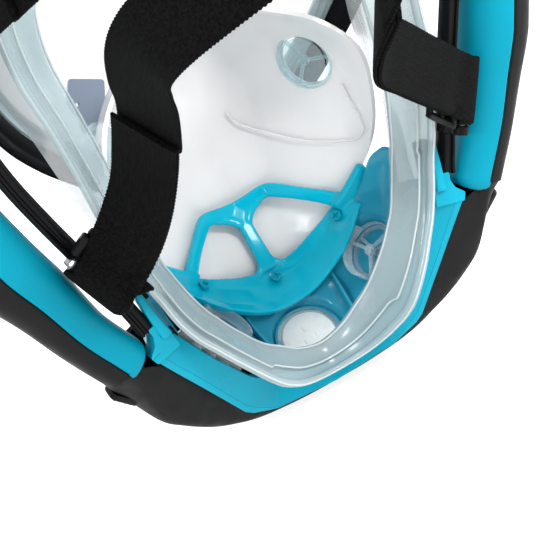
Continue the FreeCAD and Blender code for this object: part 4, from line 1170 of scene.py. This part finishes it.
def ribbon(shape, line, widths, first, last, lift, sink=0.0, narrow=0.0, skew=0.0):
    """Webbing from FIRST to LAST millimetres along LINE, LIFT above it; it SINKs towards LAST.

    NARROW is taken off its upper edge, and SKEW slants and thins its first end.
    """
    run = measured(line)
    count = max(8, int((last - first) / STITCH))
    rows = []
    k = 0
    for row in range(count + 1):
        goal = first + (last - first) * row / count
        while k < len(line) - 2 and run[k + 1] < goal:
            k += 1
        share = (goal - run[k]) / max(run[k + 1] - run[k], 1e-6)
        ahead = unit(line[k + 1] - line[k])
        beyond = unit(line[min(k + 2, len(line) - 1)] - line[min(k + 1, len(line) - 2)])
        ahead = unit(ahead.lerp(beyond, share))
        w = unit(widths[k].lerp(widths[k + 1], share))
        n = unit(w.cross(ahead))
        reach = (STRAP_WIDE - narrow) / 2 - (0.0 if row % 2 else 0.4)
        w = w * (reach / (w - ahead * w.dot(ahead)).length)
        full = min(1.0, 0.45 + 0.55 * (goal - first) / 2.0) if skew else 1.0
        rise = lift - sink * row / count - (1.0 - full) * STRAP_THICK / 2
        centre = line[k].lerp(line[k + 1], share) + n * rise - w * (narrow / 2 / reach)
        slant = ahead * (skew * max(0.0, 1.0 - (goal - first) / 12.0))
        profile = []
        for across in RIBBON_MARKS:
            thick = STRAP_THICK / 2 * full * (1.0 - 0.22 * abs(across) ** 6)
            profile.append((across, thick * (0.55 if abs(across) == 1.0 else 1.0)))
        rows.append([centre + (w + slant) * a + n * h for a, h in profile]
                    + [centre + (w + slant) * a - n * h for a, h in profile[::-1]])
    shape.skin(rows)


def strap_lines(rows, centre, axis, pull):
    """The strap's middle line from under its buckle, round the pin and on to the pad."""
    w = unit(axis)
    t = unit(pull - w * pull.dot(w))
    n = w.cross(t)
    goal = Vector(rows[0][0]) - centre
    skew = goal.dot(w) / goal.dot(t)
    marks = [(11, WRAP, -1), (5, WRAP, -1), (0.5, WRAP, -1), (-3.2, WRAP * 0.7, -1), (-WRAP, 0, 0),
             (-3.2, -WRAP * 0.7, 1), (0.5, -WRAP, 1), (5, -WRAP, 1)]
    wrap = [centre + t * a + n * b + w * (skew * abs(a) * c) for a, b, c in marks]
    points = wrap + [Vector(p) for p, _ in rows]
    widths = [w] * len(wrap) + [unit(d) for _, d in rows]
    return smooth_line(points, LINE_STEPS), smooth_line(widths, LINE_STEPS)


def weave_map(made, line, widths):
    """Texture paths for the webbing: across its width, and along it in stitches."""
    mesh = made.data
    layer = mesh.uv_layers.new(name="weave")
    run = measured(line)
    found = []
    for vertex in mesh.vertices:
        p = vertex.co / MM
        k = min(range(len(line)), key=lambda i: (line[i] - p).length_squared)
        ahead = unit(line[min(k + 1, len(line) - 1)] - line[max(k - 1, 0)])
        w = unit(widths[k] - ahead * widths[k].dot(ahead))
        found.append(((p - line[k]).dot(w) / STRAP_WIDE, (run[k] + (p - line[k]).dot(ahead)) / STITCH / 20))
    for loop in mesh.loops:
        layer.data[loop.index].uv = found[loop.vertex_index]


def make_strap(name, side, rows, pin, axis, pull, tail, lap):
    """A strap in three layers: the base, one that starts TAIL from its first row, one from LAP on."""
    line, widths = strap_lines(rows, pin, axis, pull)
    whole = measured(line)[-1]
    root = measured(line)[len(line) - 1 - LINE_STEPS * (len(rows) - 1)]
    shape = Shape()
    ribbon(shape, line, widths, 0, root + lap + 9, 0)
    ribbon(shape, line, widths, root + tail, root + lap + 8, STRAP_THICK * 1.02, narrow=4.0)
    lift = STRAP_THICK * 2.04
    ribbon(shape, line, widths, root + lap, whole, lift, lift, skew=-3.0)
    turn = Vector if side == "left" else flip
    nodes = ["%s_strap_%s" % (name, side), "%s_strap_end_%s" % (name, side)]
    form = shape if side == "left" else shape.mirrored()
    made = piece("%s_webbing_%s" % (name, side), form, "strap_black", stands_for=nodes, sharp=60)
    weave_map(made, [turn(p) for p in line], [turn(w) for w in widths])
    made.parent = None
    start = turn(pin + pull * BLEND_FROM) * MM
    end = turn(Vector(rows[len(rows) // 2][0])) * MM
    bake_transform(made)


def make_straps():
    lower = buckle(LOW_PIN, LOW_PIN_AXIS, LOW_PULL, BUCKLE_SLANT)
    upper = buckle(TOP_PIN, TOP_PIN_AXIS, TOP_PULL, 0.0)
    pair("lower_buckle_frame", lower, "frame_black", ["lower_buckle"], body="lower_buckle")
    pair("upper_buckle_frame", upper, "frame_black", ["upper_buckle"], body="upper_buckle")
    make_strap("lower", "left", LOW_STRAP, LOW_PIN, LOW_PIN_AXIS, LOW_PULL, tail=2, lap=62)
    slid = LOW_PIN + LOW_PIN_AXIS * SLID
    make_strap("lower", "right", LOW_STRAP_RIGHT, slid, LOW_PIN_AXIS, LOW_PULL, tail=2, lap=110)
    for side in ("left", "right"):
        make_strap("upper", side, TOP_STRAP, TOP_PIN, TOP_PIN_AXIS, TOP_PULL, tail=5, lap=40)


# The plate behind the head: height and half width, station by station, and its two faces.
PAD_STATIONS = ((76, 8.5), (77.5, 10.5), (82, 11.5), (96, 11.2), (109, 10.2), (122, 11.2), (136, 11.5),
                (140.5, 10.5), (142, 8.5))
PAD_NEAR = 157.6
PAD_FAR = 162.4


def make_pad():
    """Rubber plate behind the head, waisted in the middle, with five ribs."""
    rows = []
    for z, half in PAD_STATIONS:
        corners = ((half, PAD_NEAR), (-half, PAD_NEAR), (-half, PAD_FAR), (half, PAD_FAR))
        rows.append(rounded([Vector((x, y, z)) for x, y in corners], 1.8))
    pad = Shape().skin(smooth_rows(rows, 3))
    for k in range(5):
        z = 84 + 12.5 * k
        pad.bar([(-8, 162.5, z), (0, 162.9, z), (8, 162.5, z)], (0, 0, 1), 2.4, 1.4, 0.6)
    piece("strap_plate", pad, "pad_black", stands_for=["strap_pad"])


# ---- CAD pieces that show as they are ----------------------------------------------------------
def paint_cad_nodes():
    """Gives every CAD piece that is still shown its own procedural finish."""
    finishes = {"clamp_screws": "teal_band", "buckle_pins": "pin_steel", "drain_valve_flap": "flap_white",
                "drain_cover": "shroud_black"}
    for side in ("left", "right"):
        finishes["side_valve_flap_" + side] = "flap_white"
        finishes["cheek_valve_flap_" + side] = "valve_clear"
        finishes["float_body_" + side] = "float_teal"
        finishes["float_seal_" + side] = "seal_grey"
    for node, finish in finishes.items():
        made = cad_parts[node]
        made.data.materials.clear()
        made.data.materials.append(FINISH[finish].made)
        made.data.shade_smooth()
        made.data.set_sharp_from_angle(angle=math.radians(SHARP))


# ---- studio ------------------------------------------------------------------------------------
CAMERA_PLACE = Vector((154.793, 496.463, 129.062))
CAMERA_AIM = Vector((15.033, -5.042, -48.307))
CAMERA_ROLL = -22.8107
CAMERA_LENS = 89.57
SKY_STRENGTH = 0.82
FLOOR_HALF = 9000
FLOOR_DROP = 2              # below the lowest point of the mask
LIGHT_AIM = Vector((0, -20, -30))
# Name, place, side of the square lamp, and watts.
LIGHTS = (("key", (-240, 620, 540), 240, 6.5), ("side", (-640, 200, 260), 280, 4.0),
          ("front", (120, -700, 300), 400, 3.0), ("right", (620, 420, 330), 200, 3.2))


def make_studio():
    world = bpy.data.worlds.new("studio")
    bpy.context.scene.world = world
    world.use_nodes = True
    sky = world.node_tree.nodes["Background"]
    sky.inputs["Color"].default_value = (1, 1, 1, 1)
    sky.inputs["Strength"].default_value = SKY_STRENGTH
    bpy.context.scene.view_settings.view_transform = "Standard"
    mesh = bpy.data.meshes.new("floor")
    corners = [Vector((x * FLOOR_HALF, y * FLOOR_HALF, 0)) for x, y in ((-1, -1), (1, -1), (1, 1), (-1, 1))]
    mesh.from_pydata([p * MM for p in corners], [], [[0, 1, 2, 3]])
    floor = linked("floor", mesh)
    floor.location.z = CAD_BOX[0].z - FLOOR_DROP * MM
    paper = Paint("floor_paper", (0.45, 0.45, 0.45), 0.9, Emission_Color=(1, 1, 1, 1), Emission_Strength=0.84)
    paper.mottle(3.0, 0.02)
    mesh.materials.append(paper.made)
    for name, place, size, watts in LIGHTS:
        lamp = bpy.data.lights.new(name, "AREA")
        lamp.shape = "SQUARE"
        lamp.size = size * MM
        lamp.energy = watts
        holder = linked(name, lamp)
        holder.location = Vector(place) * MM
        holder.rotation_euler = (LIGHT_AIM - Vector(place)).to_track_quat("-Z", "Y").to_euler()


def make_camera():
    lens = bpy.data.cameras.new("camera")
    lens.lens = CAMERA_LENS
    lens.sensor_width = 36.0
    lens.clip_end = 50
    camera = linked("camera", lens)
    look = (CAMERA_AIM - CAMERA_PLACE).to_track_quat("-Z", "Y").to_matrix().to_4x4()
    roll = Matrix.Rotation(math.radians(CAMERA_ROLL), 4, "Z")
    camera.matrix_world = Matrix.Translation(CAMERA_PLACE * MM) @ look @ roll
    bpy.context.scene.camera = camera


make_window()
make_tabs()
make_legs()
make_skirt()
make_cup()
make_band()
make_shroud()
make_latches()
make_deck()
make_clamp()
make_valves()
make_tubes()
make_tube_tops()
make_straps()
make_pad()
paint_cad_nodes()
make_studio()
make_camera()
